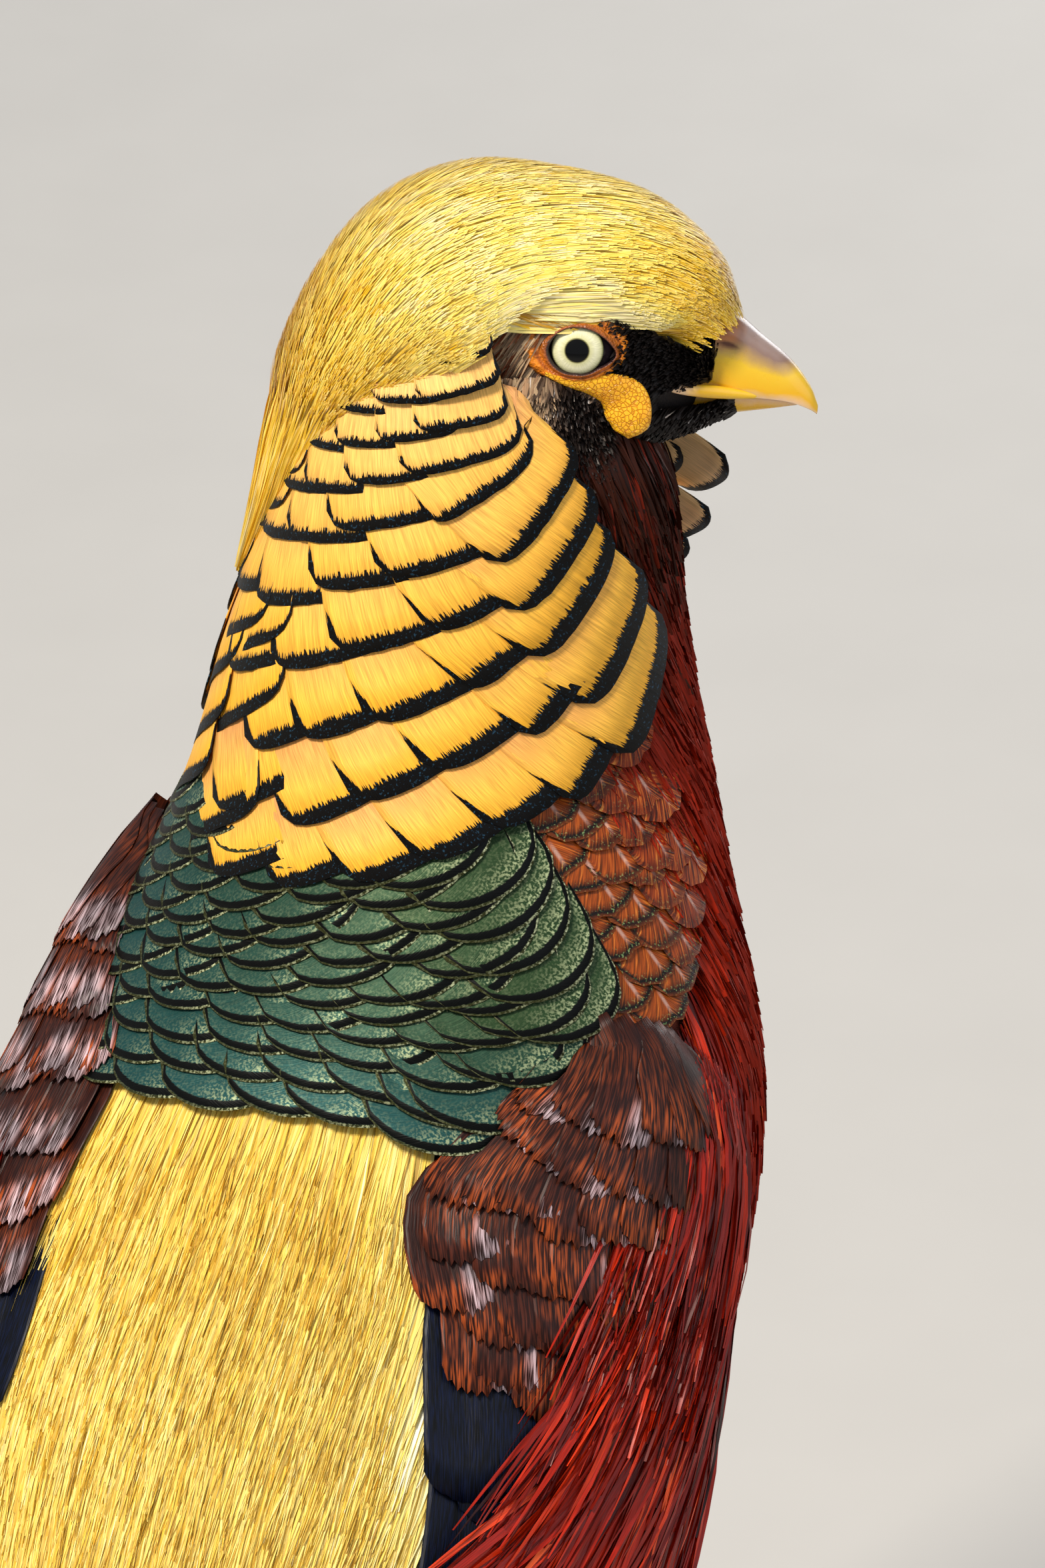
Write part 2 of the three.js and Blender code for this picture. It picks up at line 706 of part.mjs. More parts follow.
// A tail feather from its root at d0: side, sideways and upward offset, the tilt of the outer half
// of its vane, half widths along its length, and how far its tip stands away sideways. The inner
// half lies level, so that left and right feathers cross over the middle without touching.
function tailFeather({ d0, length, side, y, z, tilt, half, thick, splay = 0 }) {
  const floor = side < 0 ? 0 : 1; // the left feathers lie on the right ones
  const above = (p, height) => V(p.x, p.y, Math.max(p.z, floor + height));
  return vane(
    half.map(([t, wide]) => {
      const d = d0 + t * length;
      const level = tailFrame(d, 0);
      const outer = tailFrame(d, side * tilt).across;
      const settled = 1 - d / TAIL_LENGTH;
      const mid = level.mid.add(V(0, side * (y * lerp(0.3, 1, settled) + splay * t * t), z * settled));
      const body = thick * (1 - 0.4 * t);
      return [
        above(mid.clone().addScaledVector(level.across, -side * wide), 0),
        above(mid.clone().addScaledVector(level.out, body), 2 * body),
        above(mid.clone().addScaledVector(outer, side * wide), 0),
        above(mid.clone().addScaledVector(level.out, -body), 0),
      ];
    }),
  );
}

const ROOF = 24; // degrees that the tail's outer halves slope
const RECTRIX = [
  [0, 6],
  [0.1, 13],
  [0.4, 16],
  [0.7, 14],
  [0.9, 8],
  [1, 1.2],
];
const PAIRS = [1, 0.88, 0.74, 0.6, 0.47, 0.35, 0.24]; // lengths of the pairs, central first
const STACK = 1.8; // how far one pair lies below the next

function tail() {
  const block = skinOver(
    [
      [-6, 11, 10],
      [8, 15, 12],
      [26, 16, 10],
      [48, 8, 4],
    ].map(([d, half, high]) => {
      const { mid } = tailFrame(d, 0);
      return turns(12).map((turn) =>
        V(mid.x, Math.sin(rad(turn)) * half, mid.z - 2 + Math.cos(rad(turn)) * high),
      );
    }),
  );
  const pieces = [block];
  for (const side of [-1, 1]) {
    PAIRS.forEach((share, k) =>
      pieces.push(
        tailFeather({
          d0: 4,
          length: share * TAIL_LENGTH - 4,
          side,
          y: 9 + 0.8 * k,
          z: 4.5 - STACK * (k + (side < 0 ? 0.5 : 0)),
          tilt: ROOF + 3 * k,
          half: RECTRIX.map(([t, wide]) => [t, wide * (1 - 0.04 * k)]),
          thick: 0.42,
        }),
      ),
    );
    span(4, 0, 4).forEach((j) =>
      pieces.push(
        tailFeather({
          d0: 12,
          length: 190 - 22 * j + 8 * vary(),
          side,
          y: 5 + 4.4 * j,
          z: 7 + 1.2 * (j % 2) - Math.max(0, 4.4 * j - 4) * Math.tan(rad(ROOF)),
          tilt: ROOF,
          half: OUTLINE.point.map(([t, wide]) => [t, wide * 4.4]),
          thick: 0.42,
          splay: 1 + 1.5 * j,
        }),
      ),
    );
  }
  return joinAll(pieces);
}

piece("tail", tail().subtract(bodyLength(-0.2, 1, GAP, 2)), "tail");

// The legs

const torsoBlock = bodyLength(-0.2, NECK_START - 0.012, GAP, 15, 24);
for (const [side, word] of [
  [-1, "right"],
  [1, "left"],
]) {
  const y = side * LEG_SPREAD;
  const thigh = limb([
    [[8, y * 0.9, 128], 22, 0.8],
    [[0, y * 0.95, 112], 20, 0.85],
    [[-12, y, 96], 14, 0.85],
    [[-24, y, 84], 7.5, 0.85],
    [[HOCK[0] - 1, y, HOCK[1] + 1], 5.2, 0.85],
  ]);
  const shank = [
    [[HOCK[0] + 1, y, HOCK[1] + 3], 4, 0.85],
    [[HOCK[0], y, HOCK[1] - 1], 4.8, 0.85],
    [[HOCK[0] + 0.5, y, HOCK[1] - 7], 4.2, 0.85],
    [[lerp(HOCK[0], SOLE[0], 0.5), y, 42], 3.3, 0.8],
    [[SOLE[0] - 2, y, 14], 3.6, 0.9],
    [[SOLE[0] - 0.5, y, 8.2], 4.4, 1],
  ];
  piece("thigh_" + word, thigh.subtract(torsoBlock).subtract(limb(shank, GAP, 8)), "thigh");
  const spurRoot = V(lerp(HOCK[0], SOLE[0], 0.62), y - side * 1.5, 30);
  const spur = limb(
    [
      [spurRoot.toArray(), 1.7, 1],
      [[spurRoot.x - 4, y - side * 3.4, 30.5], 1.2, 1],
      [[spurRoot.x - 7.5, y - side * 4.6, 32], 0.35, 1],
    ],
    0,
    6,
  );
  piece("shank_" + word, limb(shank, 0, 8).add(spur), "scaleSkin");
  const toes = [
    [28, 22, 38],
    [0, 22, 48],
    [-28, 22, 37],
    [172, 10, 15],
  ];
  let foot = limb([
    [[SOLE[0] - 0.3, y, 7.9], 4.4, 1],
    [[SOLE[0] + 0.5, y, 4], 5.2, 1],
    [[SOLE[0] + 0.5, y, -2], 4.8, 1],
  ]);
  toes.forEach(([angle, , length], i) => {
    const dir = V(Math.cos(rad(angle)), Math.sin(rad(angle)), 0);
    const at = (d, z) => [SOLE[0] + dir.x * d, y + dir.y * d, z];
    const bend = [0, 0.5, 1].map((t) => [at(length * 0.8 * t, lerp(3.4, 1.9, t)), lerp(3.4, 2.1, t), 1]);
    foot = foot.add(limb(bend, 0, 6));
    const claw = limb(
      [
        [at(length * 0.8 + 0.9, 2.2), 1.8, 0.8],
        [at(length * 0.92, 2.6), 1.3, 0.8],
        [at(length * 1.02, 0.9), 0.4, 0.8],
      ],
      0,
      6,
    );
    piece("claw_" + word + "_" + (i + 1), claw.intersect(aboveFloor()), "claw");
  });
  foot = foot.intersect(aboveFloor());
  piece("foot_" + word, foot, "scaleSkin");
}

// The origin goes under the middle of the whole bird, on the floor.
const whole = new THREE.Group();
bird.updateMatrixWorld(true);
const box = new THREE.Box3().setFromObject(bird);
bird.position.set(-(box.min.x + box.max.x) / 2, -(box.min.y + box.max.y) / 2, -box.min.z);
whole.add(bird);

export default whole;
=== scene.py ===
"""Golden pheasant cock, life size: its skin, plumage, bill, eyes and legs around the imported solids.

Lengths are millimetres in the bird's own frame, +X the way the body faces, +Y its left and +Z up,
until a mesh is made in metres. Along the body, a place is a station u, from the tail root at 0 to
the nape at 9, and a turn in degrees: 0 on the back, -90 on the right side and 180 on the throat.
"""
import math
from functools import partial

import bpy
import numpy as np
from mathutils import Matrix, Vector
from mathutils.kdtree import KDTree


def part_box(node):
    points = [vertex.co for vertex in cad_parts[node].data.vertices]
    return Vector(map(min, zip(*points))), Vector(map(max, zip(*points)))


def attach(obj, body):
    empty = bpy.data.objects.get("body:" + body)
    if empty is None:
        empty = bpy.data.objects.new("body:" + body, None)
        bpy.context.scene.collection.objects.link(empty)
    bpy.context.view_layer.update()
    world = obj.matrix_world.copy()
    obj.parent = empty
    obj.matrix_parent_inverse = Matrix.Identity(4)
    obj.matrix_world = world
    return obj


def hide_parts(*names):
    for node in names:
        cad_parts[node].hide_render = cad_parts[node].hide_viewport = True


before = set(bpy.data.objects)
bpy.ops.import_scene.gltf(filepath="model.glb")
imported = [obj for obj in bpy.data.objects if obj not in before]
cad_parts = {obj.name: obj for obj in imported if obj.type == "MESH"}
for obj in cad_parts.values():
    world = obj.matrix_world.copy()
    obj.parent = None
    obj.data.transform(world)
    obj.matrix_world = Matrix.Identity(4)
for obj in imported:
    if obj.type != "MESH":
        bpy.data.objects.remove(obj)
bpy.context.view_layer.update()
rng = np.random.default_rng(20)

# Driving dimensions, as in the solids
RUMP_HEIGHT = 125.0
HEAD_CENTRE = np.array([65.0, -12.0, RUMP_HEIGHT + 203])
HEAD_YAW, HEAD_PITCH, HEAD_ROLL = -75.0, 2.5, -8.0
EYE_RADIUS = 6.2
EYE_PLACE = np.array([4.0, 11.6, 1.0])
TAIL_LENGTH = 660.0
LEG_SPREAD = 30.0
SOLE = -16.0
SIDES = ((-1, "right"), (1, "left"))

# Centre x, y, height over the tail root, pitch, twist, half width, depth to the back and the belly.
# The last two rows carry the neck's sides on over the head, behind the ear.
STATIONS = [
    (-116, 0, 0, 16, 0, 20, 14, 15),
    (-92, 0, 7, 20, 0, 36, 26, 31),
    (-62, 0, 19, 29, 0, 48, 38, 48),
    (-28, 0, 40, 40, 0, 56, 47, 60),
    (4, -1, 68, 51, 0, 57, 48, 62),
    (27, -4, 99, 63, -6, 52, 43, 55),
    (41, -2, 129, 74, -24, 40, 37, 46),
    (50, 1, 156, 82, -46, 31, 31, 38),
    (55, 0, 180, 86, -64, 25, 25, 32),
    (58, 0, 197, 88, -70, 21, 21, 26),
    (61, -3, 211, 89, -74, 18.5, 21, 22),
    (62, -6, 224, 89, -75, 13, 19, 18),
]

# Forward from the head's centre, height of the middle, half width, half height.
HEAD_RINGS = [
    (-25, -3, 8, 9),
    (-20, -2, 13.5, 15),
    (-11, -1, 16.5, 19),
    (0, 0, 17, 20),
    (9, 0, 15.5, 18),
    (16, -1.8, 12.2, 14.2),
    (21, -4.4, 8.6, 9.8),
    (25, -7.2, 4.9, 4.8),
    (28.6, -9.6, 3.3, 2.3),
]

# The crest's outer line: forward, up, half width and drop of its side edge.
CREST_LINE = [
    (25.5, 3.5, 7, 5),
    (21.8, 11.8, 11, 9.5),
    (11.5, 19.4, 15, 14),
    (-4, 22.4, 17.8, 18),
    (-17, 21.4, 22, 20.5),
    (-28.5, 14.8, 22.5, 20),
    (-37, 2, 20, 16),
    (-42, -14, 14.5, 9),
    (-45, -32, 8, 4),
]

# The photograph's view
IMAGE_SIZE = (1568, 2352)
EYE_PIXEL = (868, 523)
VIEW_TURN, VIEW_RISE = -70.0, 28.0
VIEW_DISTANCE = 1400.0
PIXELS_PER_MM = 10.0
SENSOR_WIDTH = 36.0


def unit(v):
    return v / np.maximum(np.linalg.norm(v, axis=-1, keepdims=True), 1e-9)


def smooth(low, high, x):
    t = np.clip((x - low) / (high - low), 0, 1)
    return t * t * (3 - 2 * t)


def through(table, u):
    """Smooth values between the rows of a table, straight on past both ends."""
    table = np.asarray(table, float)
    padded = np.vstack([2 * table[0] - table[1], table, 2 * table[-1] - table[-2]])
    u = np.asarray(u, float)
    i = np.clip(np.floor(u).astype(int), 0, len(table) - 2)
    t = (u - i)[..., None]
    a, b, c, d = (padded[i + k] for k in range(4))
    bent = 2 * b + (c - a) * t + (2 * a - 5 * b + 4 * c - d) * t**2 + (3 * b - a - 3 * c + d) * t**3
    return np.where((t < 0) | (t > 1), b + (c - b) * t, 0.5 * bent)


def columns(table, u):
    return np.moveaxis(through(table, u), -1, 0)


def evenly(table, count):
    """The columns of a table read at even steps from its first row to its last."""
    return columns(table, np.linspace(0, len(table) - 1, count))


def looked_up(table, x):
    """Which row of a table x falls on by its first column, and the other columns there."""
    rows = np.interp(x, [row[0] for row in table], np.arange(len(table)))
    return rows, *columns(table, rows)[1:]


def straight(table, x):
    """The second column of a table of pairs, read straight between its rows."""
    return np.interp(x, *zip(*table))


def rotated(v, axis, degrees):
    """v turned about a unit axis."""
    c, s = np.cos(np.radians(degrees))[..., None], np.sin(np.radians(degrees))[..., None]
    return v * c + np.cross(axis, v) * s + axis * np.sum(axis * v, -1, keepdims=True) * (1 - c)


def head_matrix():
    yaw, pitch, roll = (math.radians(x) for x in (HEAD_YAW, HEAD_PITCH, HEAD_ROLL))
    turn = Matrix.Rotation(yaw, 3, "Z") @ Matrix.Rotation(pitch, 3, "Y") @ Matrix.Rotation(roll, 3, "X")
    return np.array(turn)


HEAD_TURN = head_matrix()


def on_head(points):
    """Points in the head's own frame, placed in the bird's."""
    return HEAD_CENTRE + np.asarray(points, float) @ HEAD_TURN.T


def in_head(points):
    return (points - HEAD_CENTRE) @ HEAD_TURN


def bird_offset():
    """Where the bird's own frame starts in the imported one, read off the right eye."""
    low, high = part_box("eye_right")
    centre = 500 * (np.array(low) + np.array(high))
    return centre - on_head(EYE_PLACE * (1, -1, 1))


OFFSET = bird_offset()


def to_metres(points):
    return (np.asarray(points, float) + OFFSET) / 1000


class Sheet:
    """A surface over two coordinates, sampled once and read back with its outward direction.

    span is the first place and the reach of the unwrap that its feathers' bake patches lie on.
    """

    def __init__(self, place, firsts, seconds, flip, span):
        self.low = np.array([firsts[0], seconds[0]])
        self.step = np.array([firsts[1] - firsts[0], seconds[1] - seconds[0]])
        self.span = np.array(span)
        self.points = place(*np.meshgrid(firsts, seconds, indexing="ij"))
        along, around = (np.gradient(self.points, axis=k) for k in (0, 1))
        self.normals = flip * unit(np.cross(around, along))

    def read(self, table, q):
        g = (q - self.low) / self.step
        i = np.clip(np.floor(g).astype(int), 0, np.array(table.shape[:2]) - 2)
        f = g - i
        (ia, ib), (fa, fb) = (i[..., 0], i[..., 1]), (f[..., :1], f[..., 1:])
        low = table[ia, ib] * (1 - fb) + table[ia, ib + 1] * fb
        high = table[ia + 1, ib] * (1 - fb) + table[ia + 1, ib + 1] * fb
        return low * (1 - fa) + high * fa

    def at(self, q, height=0.0):
        height = np.asarray(height)[..., None]
        return self.read(self.points, q) + unit(self.read(self.normals, q)) * height


def body_place(u, turn):
    x, y, z, pitch, twist, half, back, belly = columns(STATIONS, u)
    pitch = np.radians(pitch)
    zero = np.zeros_like(pitch)
    along = np.stack([np.cos(pitch), zero, np.sin(pitch)], -1)
    up = rotated(np.stack([-np.sin(pitch), zero, np.cos(pitch)], -1), along, twist)
    left = rotated(np.stack([zero, zero + 1, zero], -1), along, twist)
    deep = np.cos(np.radians(turn))
    depth = (deep * np.where(deep > 0, back, belly))[..., None]
    side = (np.sin(np.radians(turn)) * half)[..., None]
    return np.stack([x, y, RUMP_HEIGHT + z], -1) + up * depth + left * side


def head_place(forward, turn):
    """The head's surface: turn is 0 at the crown, -90 on the right and 180 at the chin."""
    _, mid, half, tall = looked_up(HEAD_RINGS, forward)
    turn = np.radians(turn)
    return on_head(np.stack([forward, np.sin(turn) * half, mid + np.cos(turn) * tall], -1))


def crest_place(s, turn):
    """The crest's surface: s runs from the forehead at 0 to the tail's end at 1."""
    at = np.asarray(s) * (len(CREST_LINE) - 1)
    forward, up, half, drop = columns(CREST_LINE, at)
    back = unit(through(CREST_LINE, at + 0.05)[..., :2] - through(CREST_LINE, at - 0.05)[..., :2])
    turn = np.radians(turn)
    fall = (1 - np.cos(turn)) * drop
    forward, up = forward + back[..., 1] * -fall, up + back[..., 0] * fall
    return on_head(np.stack([forward, np.sin(turn) * half, up], -1))


BODY = Sheet(body_place, np.arange(-0.5, 11.3, 0.05), np.arange(-260, 261, 2.0), -1,
             ((-0.5, -260), (11.8, 520)))
HEAD = Sheet(head_place, np.arange(-24.5, 28.6, 0.5), np.arange(-200, 201, 4.0), -1, ((-25, -200), (50, 400)))
CREST = Sheet(crest_place, np.arange(-0.04, 1.1, 0.01), np.arange(-110, 111, 4.0), -1,
              ((-0.05, -110), (1.2, 220)))


def a_station(q):
    """How many millimetres a station is long at places of the body."""
    return np.linalg.norm(BODY.at(q + [0.1, 0]) - BODY.at(q - [0.1, 0]), axis=-1) / 0.2


# Meshes from grids of points


def placed(name, data):
    thing = bpy.data.objects.new(name, data)
    bpy.context.scene.collection.objects.link(thing)
    return thing


def flat(values):
    return np.asarray(values, np.float32).ravel()


def make_piece(name, points, quads, material, vane=None, rim=None, bake=None):
    """A piece of the bird from points, faces of three or four corners and values for each point."""
    quads = np.asarray(quads, np.int32)
    mesh = bpy.data.meshes.new(name)
    mesh.vertices.add(len(points))
    mesh.vertices.foreach_set("co", flat(to_metres(points)))
    mesh.loops.add(quads.size)
    mesh.loops.foreach_set("vertex_index", quads.ravel())
    mesh.polygons.add(len(quads))
    mesh.polygons.foreach_set("loop_start", np.arange(0, quads.size, quads.shape[1], dtype=np.int32))
    mesh.update(calc_edges=True)
    mesh.polygons.foreach_set("use_smooth", np.full(len(quads), True))
    if vane is not None:
        mesh.attributes.new("vane", "FLOAT_VECTOR", "POINT").data.foreach_set("vector", flat(vane))
    if rim is not None:
        mesh.attributes.new("rim", "FLOAT", "POINT").data.foreach_set("value", flat(rim))
    if bake is not None:
        mesh.uv_layers.new(name="OFBake").data.foreach_set("uv", flat(bake[quads.ravel()]))
    mesh.validate()
    mesh.materials.append(material)
    return placed(name, mesh)


def settle(piece, *nodes, slot):
    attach(piece, "root")
    if nodes:
        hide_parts(*nodes)


def grid_faces(rows, cols, start=0):
    i, j = np.meshgrid(np.arange(rows), np.arange(cols), indexing="ij")
    a = (start + i * (cols + 1) + j).ravel()
    return np.stack([a, a + 1, a + cols + 2, a + cols + 1], -1)


def closed_faces(rows, cols):
    """Faces of a thin closed vane: an upper grid, an under grid and the rim between them."""
    count = (rows + 1) * (cols + 1)
    upper = grid_faces(rows, cols)
    under = grid_faces(rows, cols, count)[:, ::-1]
    at = np.arange(count).reshape(rows + 1, cols + 1)
    ring = np.concatenate([at[0, :-1], at[:-1, -1], at[-1, :0:-1], at[:0:-1, 0]])
    following = np.roll(ring, -1)
    rim = np.stack([following, ring, ring + count, following + count], -1)
    return np.concatenate([upper, under, rim])


def joined_grid(points, side):
    """Faces over a grid whose columns close on themselves, wound for a side of the head."""
    rows, cols = points.shape[0] - 1, points.shape[1]
    i, j = np.meshgrid(np.arange(rows), np.arange(cols), indexing="ij")
    a, b = (i * cols + j).ravel(), (i * cols + (j + 1) % cols).ravel()
    return np.stack([a, b, b + cols, a + cols], -1)[:, ::side]


def mould(name, material, place, values, side, *nodes, slot):
    """A piece on the head from a grid of forward, sideways and up, with three values for each point."""
    points = on_head(np.stack(np.broadcast_arrays(*place), -1))
    vane = np.stack([value + 0 * points[..., 0] for value in values], -1).reshape(-1, 3)
    piece = make_piece(name, points.reshape(-1, 3), joined_grid(points, side), material, vane)
    settle(piece, *nodes, slot=slot)


class Plumage:
    """Gathers feathers and makes one piece of them."""

    def __init__(self, name, material):
        self.name, self.material = name, material
        self.kept, self.quads, self.size = {}, [], 0

    def add(self, faces, **values):
        """Each value is feathers by points by its own size; faces are those of one feather."""
        count, each = values["points"].shape[:2]
        starts = self.size + np.arange(count) * each
        self.quads.append((starts[:, None, None] + faces).reshape(-1, 4))
        for key, value in values.items():
            self.kept.setdefault(key, []).append(value.reshape(count * each, -1))
        self.size += count * each

    def make(self, node, slot):
        kept = {key: np.concatenate(value) for key, value in self.kept.items()}
        piece = make_piece(self.name, quads=np.concatenate(self.quads), material=self.material, **kept)
        settle(piece, node, slot=slot)


def round_vane(s):
    return 0.3 + 0.7 * smooth(0, 0.6, s)


def hair_vane(s):
    return 0.3 + 0.7 * smooth(0, 0.25, s) - 0.9 * smooth(0.4, 1, s)


HAIR = {"open_at": hair_vane, "sag": 0.0, "camber": 0.0}
TUFT = 0.003  # how wide a feather's patch is on the unwrap of the skin
# Places scattered for the barbs of each soft coat: enough to cover, and few enough for its piece
BARBS = {"breast": 12500, "rump": 22000, "flank": 12300, "belly": 10000, "face": 17000, "ear": 9000,
         "thigh": 5000}
RUMP_MOST = 13600  # barbs in a piece of the rump


def tuft(s, v):
    """A feather's bake patch, from the feather's own coordinates: s down a column and v along a row."""
    return TUFT * np.stack(np.broadcast_arrays(0.5 * v, s), -1)


def lay(plumage, sheet, root, tip, width, rows, cols, lift, *, open_at=round_vane, sag=0.3, camber=0.5,
        roll=0.0, fray=0.0, comb=0.0, thick=0.0, sway=0.0, hook=(1.3, 1.3), fade=0.0, taper=0.0, blunt=2.0,
        early=0.8, mark=None, under=None):
    """Lays feathers on a sheet, from their roots to their tips, and adds them to a plumage.

    open_at gives the share of the full width along the feather, sag how round its end is, camber how
    far its edges drop, roll how far one edge lifts, fray and comb how ragged the end is, and sway how
    far the middle bends aside, all in millimetres. A large hook narrows the rim along the viewer's
    left or right edge and fade ends it further up, taper thins it towards the left, or if below zero
    the right, a large blunt squares the end, a small early lifts it soon after its root, and mark is a
    value per feather for the material. A thick feather is closed, and under is its under side's mark.
    """
    root, tip = np.asarray(root, float), np.asarray(tip, float)
    count = len(root)
    per = lambda x: np.broadcast_to(np.asarray(x, float), (count,))[:, None, None]
    width, camber, roll, sway, sag, taper = (per(x) for x in (width, camber, roll, sway, sag, taper))
    s = np.linspace(0, 1, rows + 1)[:, None]
    v = np.linspace(-1, 1, cols + 1)
    way = (tip - root)[:, None]
    centre = root[:, None] + way * s
    along = (sheet.at(centre + way * 0.02) - sheet.at(centre - way * 0.02)) / 0.04
    out = unit(sheet.read(sheet.normals, centre))
    length = np.linalg.norm(along, axis=-1, keepdims=True)
    across = np.cross(out, along / length)
    # The step of the sheet's coordinates that goes one millimetre aside
    to_a, to_b = ((sheet.at(centre + d) - sheet.at(centre - d)) / (2 * d.sum())
                  for d in np.diag(sheet.step * 0.5))
    dot = lambda p, q: np.sum(p * q, -1)
    aa, ab, bb = dot(to_a, to_a), dot(to_a, to_b), dot(to_b, to_b)
    ra, rb = dot(to_a, across), dot(to_b, across)
    det = aa * bb - ab * ab
    aside = np.stack([(ra * bb - rb * ab) / det, (rb * aa - ra * ab) / det], -1)

    wide = open_at(s)
    half = 0.5 * width * wide
    x = half * v
    bow = 1 - np.sqrt(1 - 0.97 * np.abs(v) ** blunt)
    ragged = rng.normal(0, 1, (count, 1, cols + 1)) * fray
    toothed = np.where(np.arange(cols + 1) % 2, comb, -comb)
    ahead = -s * (sag * width) * bow + (ragged + toothed) * smooth(0.55, 1, s)
    sideways = x + sway * np.sin(np.pi * s * 0.9)
    q = centre[:, :, None] + aside[:, :, None] * sideways[..., None]
    q = q + way[:, None] * (ahead / length)[..., None]
    low, high = per(lift[0]), per(lift[1])
    open_by = smooth(0, 0.4, s)
    height = low + (high - low) * s**early - camber * (v * wide) ** 2 + roll * v * open_by
    points = sheet.at(q, height)

    behind_tip = np.mean(length, axis=(1, 2), keepdims=True) * (1 - s) + 0 * x
    each = per(rng.random(count) if mark is None else mark)
    vane = np.stack([x, behind_tip, each + 0 * x], -1)
    aside_rim = np.where(v < 0, hook[0], hook[1]) * (half - np.abs(x)) + fade * behind_tip
    rim = np.minimum(behind_tip, aside_rim + 6 * (1 - open_by))
    rim = rim + np.abs(taper) * smooth(0.45, 1.0, -v * np.sign(taper))
    start = ((root - sheet.span[0]) / sheet.span[1])[:, None, None]
    values = {"points": points, "vane": vane, "rim": rim[..., None], "bake": start + tuft(s, v)}
    values = {key: t.reshape(count, -1, t.shape[-1]) for key, t in values.items()}
    if not thick:
        plumage.add(grid_faces(rows, cols), **values)
        return
    doubled = {key: np.concatenate([t, t], axis=1) for key, t in values.items()}
    below = slice((rows + 1) * (cols + 1), None)
    doubled["points"][:, below] -= np.repeat(out, cols + 1, axis=1) * thick
    if under is not None:
        doubled["vane"][:, below, 2] = under
    plumage.add(closed_faces(rows, cols), **doubled)


def scatter(count, low, high):
    """Evenly spread random places in a box of coordinates, the same on each run."""
    i = np.arange(count)
    golden = np.array([0.7548776662466927, 0.5698402909980532])
    low, high = np.array(low, float), np.array(high, float)
    return low + (high - low) * ((rng.random(2) + i[:, None] * golden) % 1)


# Materials

MIX = {"data_type": "RGBA", "out": 2}


def linear(code):
    parts = [int(code[i : i + 2], 16) / 255 for i in (1, 3, 5)]
    return (*(c / 12.92 if c <= 0.04045 else ((c + 0.055) / 1.055) ** 2.4 for c in parts), 1.0)


def add_node(tree, kind, inputs=(), stops=(), out=0, **settings):
    """Adds a shader node and gives one of its outputs, or the node itself if it has none.

    inputs are values or the sockets that feed them, and stops a ramp's colours.
    """
    made = tree.nodes.new("ShaderNode" + kind)
    for key, value in settings.items():
        setattr(made, key, value)
    for index, (place, colour) in enumerate(stops):
        elements = made.color_ramp.elements
        new = 0 < index < len(stops) - 1
        stop = elements.new(place) if new else elements[0 if index < 1 else -1]
        stop.position, stop.color = place, linear(colour)
    for key, value in dict(inputs).items():
        if isinstance(value, bpy.types.NodeSocket):
            tree.links.new(value, made.inputs[key])
        else:
            made.inputs[key].default_value = linear(value) if isinstance(value, str) else value
    return made.outputs[out] if made.outputs else made


def make_material(name, draw):
    """A material whose surface has the values and sockets that draw(add) gives."""
    material = bpy.data.materials.new(name)
    material.use_nodes = True
    material.node_tree.nodes.clear()
    add = partial(add_node, material.node_tree)
    add("OutputMaterial", {"Surface": add("BsdfPrincipled", draw(add))})
    return material


def carried(add):
    """The three values that a piece carries for each point."""
    return add("SeparateXYZ", {0: add("Attribute", out="Vector", attribute_name="vane")}).node.outputs


def plumage_material(name, paint, spacing, roughness, lean=None, bump=0.25, streak=0.35, gloss=0.2, **shader):
    """A feather's finish: softly shining barbs, seen as fine streaks with a little relief.

    paint(add, mm) gives its colour from the sockets in mm: x from its middle, y from its tip, rim from
    its edge, mark of its own, aside, x without its sign, at, its place, and grain, streaks along the
    barbs from 0 to 1. spacing is the width of two streaks: over 0.5 they are drawn coarser than real
    barbs, so that they show. They lean out from the middle, or with lean None run with it.
    """
    def draw(add):
        x, y, mark = carried(add)
        aside = add("Math", {0: x}, operation="ABSOLUTE")
        across = y if lean else x
        if lean:
            across = add("Math", {0: aside, 1: lean, 2: y}, operation="MULTIPLY_ADD")
        fine = add("Math", {0: across, 1: 1 / spacing}, operation="MULTIPLY")
        slow = add("Math", {0: aside if lean else y, 1: 0.12}, operation="MULTIPLY")
        own = add("Math", {0: mark, 1: 97.0}, operation="MULTIPLY")
        where = add("CombineXYZ", {0: fine, 1: slow, 2: own})
        grain = add("TexNoise", {"Vector": where, "Scale": 2.0, "Detail": 1.0, "Roughness": 0.6})
        mm = {"x": x, "y": y, "mark": mark, "aside": aside, "grain": grain,
              "rim": add("Attribute", out="Fac", attribute_name="rim"), "at": add("TexCoord", out="Object")}
        colour = paint(add, mm)
        shade = add("MapRange", {0: grain, 1: 0.3, 2: 0.7, 3: 1 - streak, 4: 1 + 0.4 * streak})
        return {"Base Color": add("VectorMath", {0: colour, "Scale": shade}, operation="SCALE"),
                "Normal": add("Bump", {"Strength": bump, "Distance": 0.0003, "Height": grain}),
                "Roughness": roughness, "Sheen Roughness": 0.4, "Specular IOR Level": gloss, **shader}
    return make_material(name, draw)


def band(add, value, low, high, soft=0.15):
    """1 where a socket is between two numbers, 0 outside, with soft edges in the same unit."""
    up = add("MapRange", {0: value, 1: low - soft, 2: low + soft})
    down = add("MapRange", {0: value, 1: high - soft, 2: high + soft, 3: 1.0, 4: 0.0})
    return add("Math", {0: up, 1: down}, operation="MULTIPLY")


